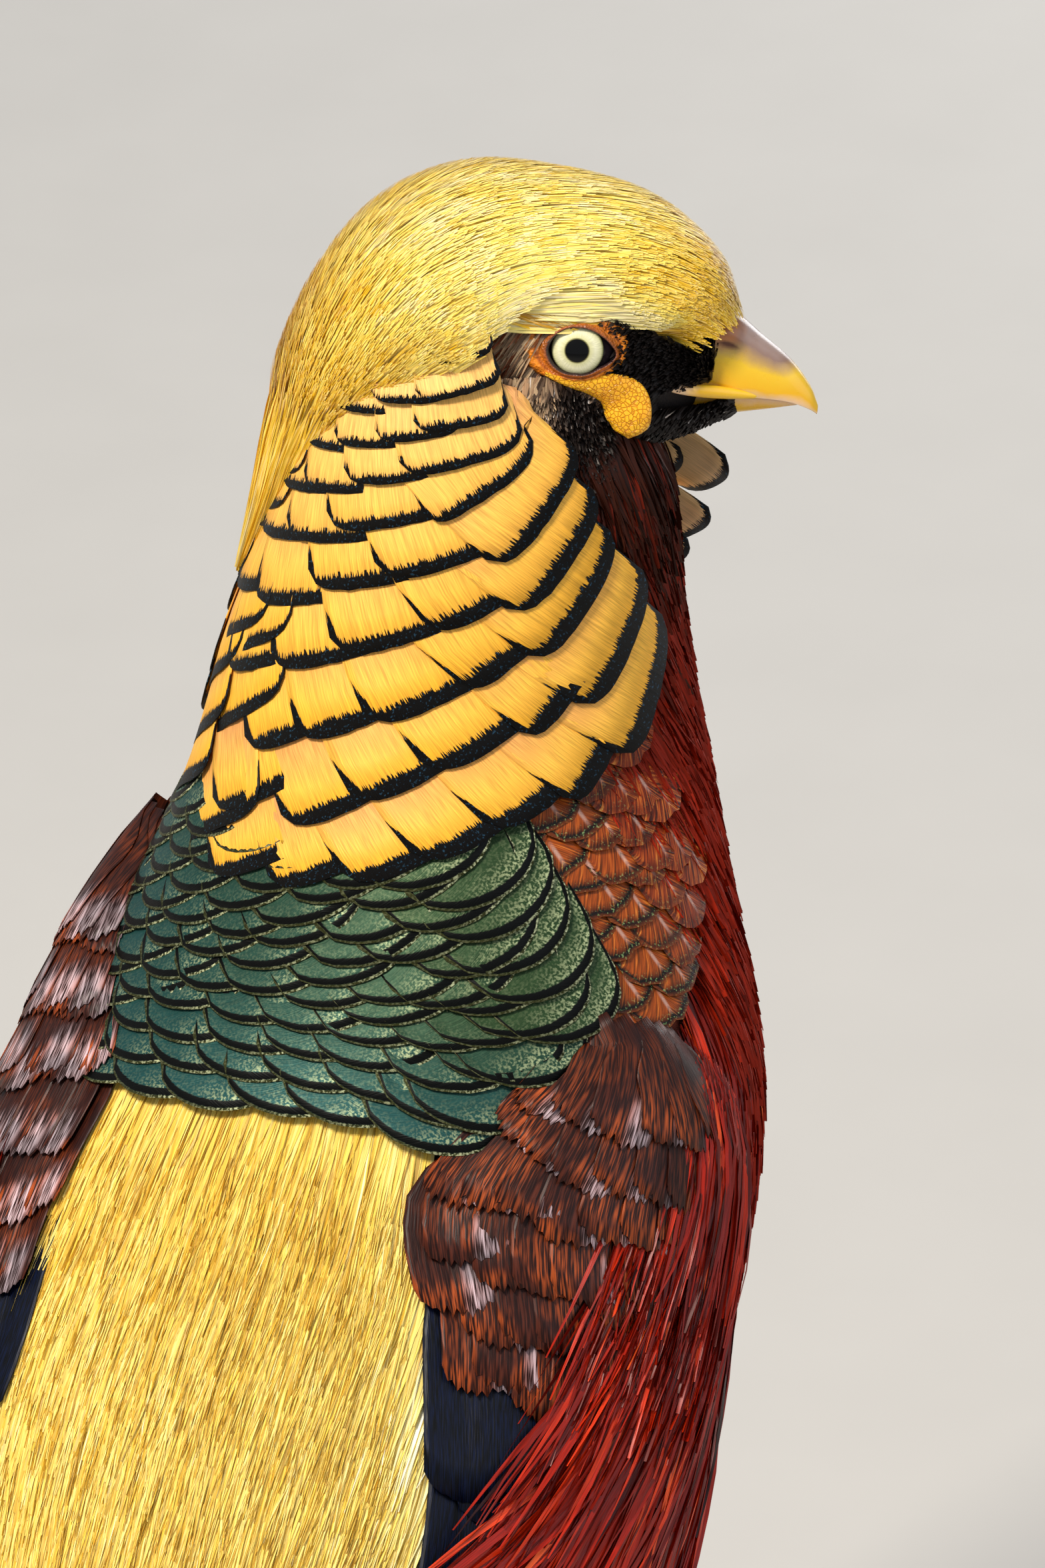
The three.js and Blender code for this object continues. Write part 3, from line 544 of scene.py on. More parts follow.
def glints(add, mm, low, high):
    """Painted glints: specks of the barbs painted bright as if they caught the light, about 0.4 mm across:
    coarser than real ones.
    """
    specks = add("TexNoise", {"Vector": mm["at"], "Scale": 2400.0, "Detail": 1.0})
    return add("MapRange", {0: specks, 1: low, 2: high})


def toned(*stops):
    """Paint for plumage that takes its colour from its own mark alone."""
    return lambda add, mm: add("ValToRGB", {"Fac": mm["mark"]}, stops=stops)


# Camera, light and floor


def sight():
    """The camera's place in the bird's frame and the way it looks: back, right and up."""
    turn, rise = math.radians(VIEW_TURN), math.radians(VIEW_RISE)
    back = np.array([math.sin(turn) * math.cos(rise), -math.cos(turn) * math.cos(rise), math.sin(rise)])
    right = np.array([math.cos(turn), math.sin(turn), 0.0])
    up = np.cross(back, right)
    aside = (EYE_PIXEL[0] - IMAGE_SIZE[0] / 2) / PIXELS_PER_MM
    above = (IMAGE_SIZE[1] / 2 - EYE_PIXEL[1]) / PIXELS_PER_MM
    place = on_head(EYE_PLACE * (1, -1, 1) + (0, -2.4, 0)) + back * VIEW_DISTANCE - right * aside - up * above
    return place, back, right, up


def lamp(name, way, distance, size, watts, colour="#FFFFFF"):
    """A soft square light that shines on the bird from a direction."""
    light = bpy.data.lights.new(name, "AREA")
    light.size, light.energy, light.color = size, watts, linear(colour)[:3]
    way = Vector(way).normalized()
    middle = Vector(to_metres((0, 0, 230)))
    turn = way.to_track_quat("Z", "Y").to_matrix().to_4x4()
    placed(name, light).matrix_world = Matrix.Translation(middle + way * distance) @ turn


def draw_floor(add):
    """Matt pale grey paint with faint specks, so that it stays quiet under the bird and its shadow."""
    specks = add("TexNoise", {"Scale": 300.0, "Detail": 3.0})
    return {"Base Color": add("Mix", {0: specks, 6: "#C4C1BC", 7: "#CAC7C2"}, **MIX), "Roughness": 0.85}


def set_studio():
    place, back, right, up = sight()
    lens = bpy.data.cameras.new("camera")
    lens.sensor_width = SENSOR_WIDTH
    lens.lens = PIXELS_PER_MM * VIEW_DISTANCE * SENSOR_WIDTH / IMAGE_SIZE[1]
    lens.clip_start = 0.05
    scene = bpy.context.scene
    scene.camera = placed("camera", lens)
    turn = Matrix((right, up, back)).transposed().to_4x4()
    scene.camera.matrix_world = Matrix.Translation(to_metres(place)) @ turn
    scene.world = bpy.data.worlds.new("studio")
    scene.world.use_nodes = True
    sky = scene.world.node_tree.nodes["Background"]
    sky.inputs["Color"].default_value = linear("#E9EEF5")
    sky.inputs["Strength"].default_value = 0.5
    lamp("key_light", 0.75 * back - 0.42 * right + 0.6 * up, 1.5, 0.35, 27, "#FFF6E8")
    lamp("fill_light", 0.6 * back + 0.9 * right + 0.2 * up, 1.6, 1.2, 5, "#EEF3FF")
    lamp("back_light", -0.8 * back + 0.5 * right + 0.7 * up, 1.6, 0.8, 8)
    scene.view_settings.view_transform = "Standard"
    corners = 6000.0 * np.array([[-1, -1, 0], [1, -1, 0], [1, 1, 0], [-1, 1, 0]])
    make_piece("floor", corners, [[0, 1, 2, 3]], make_material("painted_floor", draw_floor))


set_studio()


def tiers(line, count, low, high, spacing, length):
    """Roots and tips of rows of body feathers from turn low to high, spacing and length in mm.

    line(row, turn) is the station of their tips.
    """
    roots, tips = [], []
    for row in range(count):
        turn = np.linspace(low, high, 121)
        edge = BODY.at(np.stack([line(row, turn) + 0 * turn, turn], -1))
        run = np.concatenate([[0], np.cumsum(np.linalg.norm(np.diff(edge, axis=0), axis=-1))])
        number = max(1, round(run[-1] / spacing))
        places = (np.arange(number) + 0.25 + 0.5 * (row % 2) + 0.25 * (rng.random(number) - 0.5)) / number
        turn = np.interp(places * run[-1], run, turn)
        tip = np.stack([line(row, turn) + 0 * turn, turn], -1)
        tip[:, 0] += 0.0125 * rng.normal(0, 1, number)
        roots.append(tip + np.stack([length / a_station(tip), 0 * turn], -1))
        tips.append(tip)
    return np.concatenate(roots), np.concatenate(tips)


# The cape: broad gold feathers, each edged with blue-black

CAPE_STEP = 0.355  # stations from one row to the next
CAPE_ROWS = 13
# Turn, and the station of the cape's hem there
CAPE_EDGE = [(0, 5.9), (22, 5.95), (42, 6.08), (64, 6.28), (76, 6.38), (92, 6.53), (108, 6.73), (122, 6.88),
             (134, 6.97), (144, 7.12), (180, 7.6)]
# Where the cape ends: its front edge's turn by station, and its top under the crest, seen from the
# side as forward and up from the head's centre
CAPE_FRONT = [(6.9, 138), (7.05, 144), (7.15, 145), (7.5, 142), (8.05, 134), (8.45, 131), (8.6, 117),
              (8.8, 110), (9.55, 104), (9.8, 97), (10.2, 80)]
CAPE_TOP = [(-44, -26), (-32, -12.8), (-26.3, -8), (-20.6, -3), (-12.7, 1.2), (-8, 3.4), (0, 4.4)]


def cape_hem(turn):
    return straight(CAPE_EDGE, np.abs(turn))


def paint_cape(add, mm):
    """Satin gold vanes, coppery deeper in and pale over the nape, with a black bar that has painted blue
    glints.
    """
    reach = add("MapRange", {0: mm["y"], 1: 2.0, 2: 13.0})
    gold = add("ValToRGB", {"Fac": reach},
               stops=((0, "#FFB51C"), (0.3, "#F9BA3C"), (0.6, "#F3AE4C"), (1, "#E09A58")))
    pale = add("MapRange", {0: mm["mark"], 1: 0.1, 2: 1.0, 3: 0.05, 4: 0.85})
    high = add("Mix", {0: pale, 6: gold, 7: "#FBD6A0"}, **MIX)
    combed = add("MapRange", {0: mm["grain"], 1: 0.36, 2: 0.62})
    ragged = add("Math", {0: combed, 1: 0.7, 2: mm["rim"]}, operation="MULTIPLY_ADD")
    thin = add("MapRange", {0: mm["mark"], 1: 0.0, 2: 0.6, 3: 0.85, 4: 1.8})
    ragged = add("Math", {0: ragged, 1: thin}, operation="MULTIPLY")
    # Painted glints: blue specks on the black bar, in place of its sheen
    black = add("Mix", {0: glints(add, mm, 0.62, 0.72), 6: "#020203", 7: "#24485F"}, **MIX)
    return add("Mix", {0: band(add, ragged, -9.0, 2.5, 0.08), 6: high, 7: black}, **MIX)


def cape_row(row):
    """Places of one row's feathers, set out from the front edge of each side: tips and their widths."""
    pitch, width = (np.interp(row, [0, 5, 7, 12], sizes) for sizes in ([12.5, 10.5, 7, 5], [25, 21, 12.5, 9]))
    turn = np.linspace(178, 0, 357)
    u = cape_hem(turn) + CAPE_STEP * row
    first = np.argmax(turn <= straight(CAPE_FRONT, u))
    per_mm = 1.6 + 0.5 * np.clip(u[first] - 7, 0, 3)
    turns = np.arange(turn[first] - 0.5 * width * per_mm, 0.5 * pitch * per_mm, -pitch * per_mm)
    turns = np.concatenate([-turns, [rng.normal(0, 3)], turns])
    turns = turns + 0.08 * pitch * per_mm * rng.normal(0, 1, len(turns))
    u = cape_hem(turns) + CAPE_STEP * row + 0.012 * rng.normal(0, 1, len(turns))
    return np.stack([u, turns], -1), np.full(len(turns), width), np.full(len(turns), row)


def cape():
    tip, width, row = (np.concatenate(parts) for parts in zip(*(cape_row(k) for k in range(CAPE_ROWS))))
    at = in_head(BODY.at(tip))
    kept = (at[:, 2] < straight(CAPE_TOP, at[:, 0]) - 0.5) | (tip[:, 0] < 7.6)
    tip, width, row = tip[kept], width[kept], row[kept]
    side, far = np.sign(tip[:, 1] + 1e-6), np.abs(tip[:, 1])
    long = 1.5 * (1 - 0.45 * smooth(7.6, 9.6, tip[:, 0]))
    back = 20 * smooth(15, 110, far) * long / 1.5
    back += 32 * smooth(86, 116, far) * (1 - smooth(8.7, 9.1, tip[:, 0]))
    root = np.stack([tip[:, 0] + long, side * (far - back)], -1)
    most = straight(CAPE_FRONT, root[:, 0]) - 5 - 0.55 * width * smooth(7.4, 8.2, tip[:, 0])
    root[:, 1] = side * np.minimum(np.abs(root[:, 1]), np.maximum(most, 5))
    mark = np.where(row < 1, 0, np.clip((row + 0.6 * rng.random(len(row))) / CAPE_ROWS, 0.06, 1) ** 1.4)
    plumage = Plumage("cape", plumage_material("cape_feather", paint_cape, 0.38, 0.5, streak=0.32))
    low = -0.4 - 2.2 * smooth(8.2, 9.6, tip[:, 0])
    edge = {"sag": 0.2, "thick": 0.2, "hook": (2.6, 2.6), "fade": 0.34}
    lay(plumage, BODY, root, tip, width, 8, 16, (low, 2.7), camber=0.4, roll=0.6 * side, fray=0.05,
        taper=-0.9 * side, blunt=4.0, mark=mark, **edge)
    # The far side's front feathers stand off the throat and show their under side, painted pale: painted
    # light, as if the sun shone through them
    i, j = (grid.ravel() for grid in np.meshgrid(np.arange(3), np.arange(3)))
    tip = np.stack([np.array([7.62, 7.2, 6.94])[i] - 0.02 * j, 166.0 - 3 * i - 12 * j], -1)
    lay(plumage, BODY, tip + [0.5, -36], tip, 15, 8, 14, (-1.6, 11.0 - 3.4 * j), blunt=3.0, mark=0.2,
        under=1.0, **edge)
    plumage.make("neck", slot="barred_cape")


# The mantle: green scales with a black band and a thin fringe made bright by painted glints

MANTLE_ROWS = 10
MANTLE_TOP = 5.95  # the last row's station, under the cape
# Turn, and the station of the mantle's hem there
MANTLE_EDGE = [(-62, 5.5), (-54, 5.25), (-44, 5.05), (-34, 4.75), (-24, 4.45), (-10, 4.52), (6, 4.5),
               (22, 4.45), (40, 4.5), (54, 4.85), (64, 5.4)]


def mantle_hem(turn):
    return straight(MANTLE_EDGE, turn)


def paint_mantle(add, mm):
    """Metallic dark green with painted pale glints towards one edge, a black band, then a dark olive fringe
    whose gold is painted glints.
    """
    # Painted glints: pale specks near the edge on one side of each feather, and gold specks over the fringe
    lit = glints(add, mm, 0.44, 0.64)
    side = add("MapRange", {0: mm["x"], 1: -3.5, 2: 5.0, 3: 0.12, 4: 1.0})
    field = add("Mix", {0: mm["mark"], 6: "#1C4A4A", 7: "#2A4226"}, **MIX)
    near = add("MapRange", {0: mm["rim"], 1: 1.8, 2: 5.5, 3: 0.8, 4: 0.08})
    glow = add("Math", {0: near, 1: side}, operation="MULTIPLY")
    bright = add("Math", {0: glow, 1: lit}, operation="MULTIPLY")
    field = add("Mix", {0: bright, 6: field, 7: "#C6D2A0"}, **MIX)
    ragged = add("Math", {0: mm["grain"], 1: 0.4, 2: mm["rim"]}, operation="MULTIPLY_ADD")
    edged = add("Mix", {0: band(add, ragged, 0.6, 1.9, 0.1), 6: field, 7: "#040605"}, **MIX)
    glitter = add("Math", {0: lit, 1: side}, operation="MULTIPLY")
    gold = add("Mix", {0: glitter, 6: "#3E4020", 7: "#E4EAB8"}, **MIX)
    return add("Mix", {0: band(add, ragged, -1.0, 0.6, 0.08), 6: edged, 7: gold}, **MIX)


def mantle():
    material = plumage_material("mantle_feather", paint_mantle, 0.45, 0.5, lean=0.6, streak=0.2, Metallic=0.4)
    line = lambda k, t: mantle_hem(t) + (MANTLE_TOP - mantle_hem(t)) * k / (MANTLE_ROWS - 1)
    root, tip = tiers(line, MANTLE_ROWS, -55, 62, 10.5, 24)
    plumage = Plumage("mantle", material)
    lay(plumage, BODY, root, tip, 22, 10, 12, (-0.8, 2.6), sag=0.36, camber=0.4, roll=-0.45, fray=0.04,
        thick=0.22, hook=(1.9, 1.9), fade=0.12,
        mark=np.clip((45 - tip[:, 1]) / 90, 0, 1) * smooth(4.3, 5.2, tip[:, 0]))
    plumage.make("torso", slot="body_plumage")


# The breast: rust and black-green scales at its sides, then plain orange-red down to the belly

SIDE_ROWS = 11
# Turn, and the station where the breast's side starts over the flank
SIDE_EDGE = [(46, 5.35), (54, 5.25), (68, 5.2), (80, 5.35), (94, 5.6), (112, 5.95)]


def paint_breast_side(add, mm):
    """Coarse rusty barbs that catch the light, a black edge with painted green glints, and a painted pale
    highlight down the middle near the tip.
    """
    high = add("ValToRGB", {"Fac": mm["grain"]},
               stops=((0.3, "#451508"), (0.5, "#8A300E"), (0.62, "#A84A16"), (0.75, "#D08436")))
    gold = add("MapRange", {0: mm["mark"], 1: 0.5, 2: 1.0, 3: 0.0, 4: 0.22})
    high = add("Mix", {0: gold, 6: high, 7: "#C06E22"}, **MIX)
    ragged = add("Math", {0: mm["grain"], 1: 1.2, 2: mm["rim"]}, operation="MULTIPLY_ADD")
    share = add("Math", {0: band(add, ragged, 0.6, 2.3, 0.7), 1: mm["mark"]}, operation="MULTIPLY")
    # Painted glints: green specks on the black edge
    black = add("Mix", {0: glints(add, mm, 0.6, 0.7), 6: "#100A06", 7: "#6E8A58"}, **MIX)
    edged = add("Mix", {0: share, 6: high, 7: black}, **MIX)
    # Painted highlight: pale down the middle of each feather, 2 to 5 mm from its tip
    shaft_glint = add("MapRange", {0: mm["aside"], 1: 0.15, 2: 0.5, 3: 0.4, 4: 0.0})
    shaft_glint = add("Math", {0: shaft_glint, 1: band(add, mm["y"], 2.0, 5.0, 1.0)}, operation="MULTIPLY")
    return add("Mix", {0: shaft_glint, 6: edged, 7: "#E8D0C4"}, **MIX)


# Satin orange-red, darker under the throat
paint_breast = toned((0, "#160C08"), (0.3, "#3C180A"), (0.55, "#7A1C06"), (1, "#A2240A"))


def hairs(plumage, root, length, way, width, lift, mark, rows, early=0.45, sway=0.9):
    """Fine single barbs of loose plumage from their roots, way degrees round for each station down."""
    down = length / a_station(root)
    tip = root + np.stack([-down, way * down], -1)
    tip[:, 0] = np.maximum(tip[:, 0], -0.3)
    lay(plumage, BODY, root, tip, width, rows, 1, lift, roll=rng.normal(0, 0.15, len(root)),
        sway=rng.normal(0, sway, len(root)), early=early, mark=mark, **HAIR)


def breast():
    side = plumage_material("breast_side_feather", paint_breast_side, 0.9, 0.42, lean=1.3)
    front = plumage_material("breast_feather", paint_breast, 0.5, 0.5, bump=0.1, gloss=0.12)
    edged, plain = Plumage("breast_side", side), Plumage("breast", front)
    line = lambda k, t: straight(SIDE_EDGE, np.abs(t)) + 0.16 * k
    for low, high in ((-112, -50), (50, 112)):
        root, tip = tiers(line, SIDE_ROWS, low, high, 7.0, 18)
        fade = np.clip((114 - np.abs(tip[:, 1])) / 30, 0.1, 1)
        lay(edged, BODY, root, tip, 14, 7, 8, (-1.0, 0.9), sag=0.28, roll=-0.4, fray=0.25, hook=(1.8, 3.0),
            fade=0.15, mark=fade)
    root = scatter(BARBS["breast"], (4.3, -268), (9.6, -92))
    tone = np.clip(0.9 - 0.62 * smooth(6.3, 8.6, root[:, 0]) + 0.1 * rng.normal(0, 1, len(root)), 0, 1)
    below = in_head(BODY.at(root))[:, 2] < -11
    high = 0.2 + 0.6 * rng.random(len(root))
    hairs(plain, root[below], 10 + 6 * rng.random(below.sum()), rng.normal(0, 2.5, below.sum()), 0.9,
          (-1.4, high[below]), tone[below], 4)
    edged.make("torso", slot="body_plumage")
    plain.make("torso", slot="body_plumage")


# Long soft plumage: gold on the rump, scarlet over the flank and belly

# The turn where the rump's plumage meets the wing, by station: on the right, and on the left
RUMP_EDGE = [(0.4, -66, 66), (1.4, -58, 62), (2.2, -50, 56), (2.85, -42, 50), (3.2, -39, 48), (3.7, -32, 46),
             (4.15, -27, 45), (4.45, -23, 47), (5.1, -20, 52)]
# Silky gold hair, from tan in its shadows to nearly white on the palest strands
paint_rump = toned((0, "#A8844C"), (0.12, "#DDB85C"), (0.4, "#F6D358"), (0.75, "#FFEC94"), (1, "#FFFBE4"))
# Glossy scarlet hair, painted nearly black as shade between the strands and orange as highlights on the ones
# that catch the light
paint_flank = toned((0, "#1E0403"), (0.3, "#6A1006"), (0.55, "#A81E0A"), (0.75, "#E0380E"), (1, "#FF7A3C"))


def rump():
    material = plumage_material("rump_plumage", paint_rump, 0.4, 0.45, bump=0.05, streak=0.1)
    edge = np.array(RUMP_EDGE)
    for name, low, high in (("rump_upper", 2.6, 5.05), ("rump_lower", 0.1, 2.6)):
        plumage = Plumage(name, material)
        root = scatter(BARBS["rump"], (low, -66), (high, 66))
        right, left = (np.interp(root[:, 0], edge[:, 0], edge[:, k]) for k in (1, 2))
        kept = (root[:, 1] > right) & (root[:, 1] < left)
        root, right = root[kept][:RUMP_MOST], right[kept][:RUMP_MOST]
        clump = 0.5 + 0.5 * np.sin(root[:, 1] * 0.9 + 3 * np.sin(root[:, 0] * 5))
        mark = 0.5 + 0.16 * clump + 0.09 * rng.normal(0, 1, len(root))
        mark = mark - 0.25 * smooth(4.1, 4.7, root[:, 0]) * rng.random(len(root))
        # Painted highlight: strands within 4 degrees of the rump's right edge, by the wing, are painted paler
        mark += 0.25 * (root[:, 1] < right + 4) * rng.random(len(root))
        mark = np.where(rng.random(len(root)) < 0.02, 0.08, mark)
        lift = 0.4 + 0.6 * rng.random(len(root))
        way = rng.normal(0, 1.2, len(root)) + 0.05 * root[:, 1]
        hairs(plumage, root, 22 + 12 * rng.random(len(root)), way, 0.65, (-1.2, lift), np.clip(mark, 0, 1), 5)
        plumage.make("torso", slot="body_plumage")


def flank():
    material = plumage_material("flank_plumage", paint_flank, 0.3, 0.34, gloss=0.22)
    for side, word in SIDES:
        plumage = Plumage("flank_" + word, material)
        root = scatter(BARBS["flank"], (1.2, 57), (5.6, 134))
        root = root[root[:, 0] < straight(SIDE_EDGE, root[:, 1]) + 0.15]
        root = root[root[:, 1] > 57 + 26 * smooth(5.0, 5.4, root[:, 0])]
        n = len(root)
        u, turn = root.T
        loose = 1 - smooth(2.8, 4.6, u)
        over = (1 - smooth(80, 92, turn)) * (1 - smooth(4.9, 5.3, u))
        stray = rng.random(n) ** 2
        full = smooth(80, 96, turn) * (1 - smooth(3.7, 4.8, u)) * smooth(0.8, 2.4, u)
        high = -0.2 + 0.8 * rng.random(n) + 6.4 * over + 4.5 * loose * stray + 4.5 * full
        fan = np.interp(turn, [57, 75, 100, 134], [-13, -8, -2, 3]) * (0.5 + loose) * smooth(0.2, 2.6, u)
        clump = np.sin(turn * 1.1 + 2.5 * np.sin(u * 6)) * np.sin(u * 9 + turn * 0.3)
        # Painted light: one strand in seven is lifted up the palette as a highlight, and the loose strays are
        # painted lighter as if they caught the light
        mark = 0.42 + 0.16 * clump + 0.13 * rng.normal(0, 1, n) + 0.2 * (rng.random(n) < 0.14)
        mark += 0.1 * loose * stray
        way = side * (fan + rng.normal(0, 2.2 + 2.4 * loose, n))
        hairs(plumage, root * (1, side), 26 + 14 * rng.random(n) + 14 * loose, way, 0.75 + 0.5 * loose,
              (-1.4 + 5.4 * over + 1.5 * full, high), np.clip(mark, 0, 1), 5, 0.5, 1.2)
        plumage.make("torso", slot="body_plumage")


def belly():
    plumage = Plumage("belly", plumage_material("belly_plumage", paint_flank, 0.4, 0.45))
    root = scatter(BARBS["belly"], (0.1, -262), (4.8, -112))
    mark = 0.5 + 0.1 * rng.normal(0, 1, len(root)) - 0.14 * (1 - smooth(0.4, 2.0, root[:, 0]))
    hairs(plumage, root, 16 + 8 * rng.random(len(root)), rng.normal(0, 3, len(root)), 1.3,
          (-1.2, 0.3 + 0.9 * rng.random(len(root))), np.clip(mark, 0, 1), 4)
    plumage.make("torso", slot="body_plumage")


# The wings, folded against the body

# Station, and the turns of the wing's upper and lower borders
WING_EDGES = [(0.15, 67, 79), (0.7, 62, 82), (1.4, 58, 85), (2.2, 52, 87), (3.0, 43, 86), (3.7, 33, 84),
              (4.3, 26, 82), (4.8, 36, 80), (5.15, 48, 76)]
# Rows of the wing: how many feathers, station of their roots and tips, width, lift and kind of colour
WING_ROWS = [(8, 2.3, 0.5, 17, 0.2, 0.9), (8, 2.9, 1.2, 17, 0.5, 0.9), (8, 3.6, 1.9, 18, 0.9, 0.9),
             (8, 4.1, 2.5, 17, 1.2, 0.5), (8, 4.4, 3.0, 16, 1.5, 0.5), (9, 4.55, 3.5, 14, 1.7, 0.1),
             (9, 4.75, 3.75, 14, 2.0, 0.1), (9, 4.95, 4.02, 14, 2.2, 0.1), (9, 5.1, 4.3, 13, 2.3, 0.1),
             (8, 5.2, 4.55, 12, 2.3, 0.1), (6, 5.28, 4.78, 11, 2.2, 0.1)]


def wing_top(u):
    """The turn of the wing's upper border at a station."""
    return straight([row[:2] for row in WING_EDGES], u)


def wing_sheet(side):
    """A wing's outer face: station, then the share of the way from its upper to its lower border."""
    def place(u, share):
        rows, top, bottom = looked_up(WING_EDGES, u)
        rise = 4 * np.minimum(1, (rows + 0.8) / 3)
        held = 3 * np.clip((u - 2.5) / 2.5, 0, 1) * (side > 0)
        top = top + 14 * smooth(3.0, 4.2, u) * (side > 0)
        ahead = 0.45 * np.maximum(0, u - 3.5) / 1.6 * (side > 0)
        crown = 1 + (rise + held) * np.sin(np.pi * np.clip(share, 0, 1))
        return BODY.at(np.stack([u + ahead, side * (top + (bottom - top) * share)], -1), crown)

    return Sheet(place, np.arange(-0.3, 5.3, 0.05), np.arange(-0.3, 1.31, 0.05), -side,
                 ((-0.5, -0.5), (6, 2)))


def paint_wing(add, mm):
    """Mottled rusty coverts with a painted lilac sheen, blue-black tertials and plain brown flight feathers.
    """
    mottle = add("TexNoise", {"Vector": mm["at"], "Scale": 130.0, "Detail": 2.0})
    patch = add("MapRange", {0: mottle, 1: 0.42, 2: 0.6})
    barbs = add("MapRange", {0: mm["grain"], 1: 0.4, 2: 0.62})
    combed = add("MapRange", {0: mm["y"], 1: 4.0, 2: 11.0, 3: 1.0, 4: 0.25})
    lit = add("Math", {0: combed, 1: barbs}, operation="MULTIPLY")
    warm = add("Mix", {0: patch, 6: "#4E2216", 7: "#A44A20"}, **MIX)
    red = add("Mix", {0: lit, 6: "#260E0A", 7: warm}, **MIX)
    # Painted sheen: near white lilac on one half of each covert near its tip, broken by the mottle and the
    # barbs
    sheen = mottle
    for part in (band(add, mm["x"], 1.2, 5.2, 0.8), band(add, mm["y"], -1.0, 7.5, 1.5), lit):
        sheen = add("Math", {0: sheen, 1: part}, operation="MULTIPLY")
    red = add("Mix", {0: sheen, 6: red, 7: "#E8DCE8"}, **MIX)
    blue = add("Mix", {0: barbs, 6: "#010205", 7: "#06102A"}, **MIX)
    brown = add("Mix", {0: barbs, 6: "#120D0A", 7: "#2C221C"}, **MIX)
    upper = add("Mix", {0: add("MapRange", {0: mm["mark"], 1: 0.3, 2: 0.4}), 6: red, 7: blue}, **MIX)
    return add("Mix", {0: add("MapRange", {0: mm["mark"], 1: 0.7, 2: 0.8}), 6: upper, 7: brown}, **MIX)


def wings():
    material = plumage_material("wing_feather", paint_wing, 0.45, 0.4, streak=0.3)
    for side, word in SIDES:
        sheet = wing_sheet(side)
        plumage = Plumage("plumage_of_wing_" + word, material)
        for index, (count, root_u, tip_u, width, rise, kind) in enumerate(WING_ROWS):
            share = (np.arange(count) + 0.3 + 0.4 * (index % 2) + 0.08 * rng.normal(0, 1, count)) / count
            roll, fray, comb = (0.3, 0.3, 0.5) if kind < 0.3 else (0.1, 0.1, 0.1)
            tip = np.stack([tip_u - 0.1 * np.sin(np.pi * share) + 0.03 * rng.normal(0, 1, count), share], -1)
            root = np.stack([root_u + 0 * share, share * 0.96 + 0.02], -1)
            lay(plumage, sheet, root, tip, width, 9, 18, (-1.6, rise - 0.6), camber=0.3, roll=roll * side,
                fray=fray, comb=comb, thick=0.15, mark=kind)
        plumage.make("wing_" + word, slot="wing_plumage")


# The tail

TAIL_START = -112.0  # how far forward its root lies
TAIL_TIP = -3.0  # how high its line ends: the tip rests on the floor
# Half widths of a tail feather and of a covert, by share of their length
RECTRIX = [(0, 6), (0.1, 13), (0.4, 16), (0.7, 14), (0.9, 8), (1, 1.2)]
COVERT = [(0, 1.8), (0.5, 4.4), (1, 0.35)]
PAIRS = [1, 0.88, 0.74, 0.6, 0.47, 0.35, 0.24]  # lengths of the pairs, as shares of the tail's
COVERTS = 5  # on each side
STACK = 1.8  # how far one pair lies under the next
ROOF = 24.0  # how many degrees the outer halves slope
TAIL_THICKNESS = 0.5


def tail_line(d):
    """The middle of the tail at a distance from its root, and the way it runs."""
    a = np.array([TAIL_START, 0, RUMP_HEIGHT])
    b = a - np.array([0.45, 0, 0.117]) * TAIL_LENGTH
    c = np.array([TAIL_START - 0.98 * TAIL_LENGTH, 0, TAIL_TIP])
    t = np.linspace(0, 1, 201)[:, None]
    curve = a * (1 - t) ** 2 + 2 * b * t * (1 - t) + c * t**2
    run = np.concatenate([[0], np.cumsum(np.linalg.norm(np.diff(curve, axis=0), axis=1))])
    at = np.clip(np.asarray(d, float) / TAIL_LENGTH, 0, 1) * run[-1]
    middle = np.stack([np.interp(at, run, curve[:, k]) for k in range(3)], -1)
    way = unit(np.stack([np.interp(at, run, np.gradient(curve[:, k], run)) for k in range(3)], -1))
    return middle + way * np.minimum(0, d)[..., None], way


def tail_vane(plumage, start, length, side, y, z, tilt, half, rows, cols, splay=0.0, mark=0.0):
    """One tail feather: half widths by share of its length, its outer half sloping by the tilt."""
    share = np.linspace(0, 1, rows + 1)[:, None]
    wide = straight(half, share)
    d = (start + share * length)[:, 0]
    middle, way = tail_line(d)
    settled = 1 - d / TAIL_LENGTH
    aside = side * (y * (0.3 + 0.7 * settled) + splay * share[:, 0] ** 2)
    middle = middle + np.stack([0 * d, aside, z * settled], -1)
    left = np.array([0.0, 1.0, 0.0])
    out = unit(np.cross(way, left) * -1)
    out = (out * np.sign(out[:, 2:]))[:, None]
    v = np.linspace(-1, 1, cols + 1)
    slope = np.radians(np.where(v > 0, tilt, 0.0))
    across = left * side * (np.cos(slope) * v)[None, :, None] - out * (np.sin(slope) * v)[None, :, None]
    rise = TAIL_THICKNESS * (1 - v**2) * 1.5
    points = middle[:, None] + across * wide[..., None] + out * rise[None, :, None]
    points[..., 2] = np.maximum(points[..., 2], (0.4 if side < 0 else 1.4) + TAIL_THICKNESS + rise)
    x = wide * v
    behind = length * (1 - share) + 0 * x
    values = {"vane": np.stack([x, behind, mark + 0 * x], -1),
              "rim": np.minimum(behind, wide - np.abs(x))[..., None],
              "bake": np.array([0.5 + 0.3 * aside[0] / 60 * side, 0.02 + 0.1 * side + 0.11]) + tuft(share, v)}
    values = {key: np.concatenate([value, value]) for key, value in values.items()}
    values["points"] = np.concatenate([points, points - out * TAIL_THICKNESS])
    values = {key: value.reshape(1, -1, value.shape[-1]) for key, value in values.items()}
    plumage.add(closed_faces(rows, cols), **values)


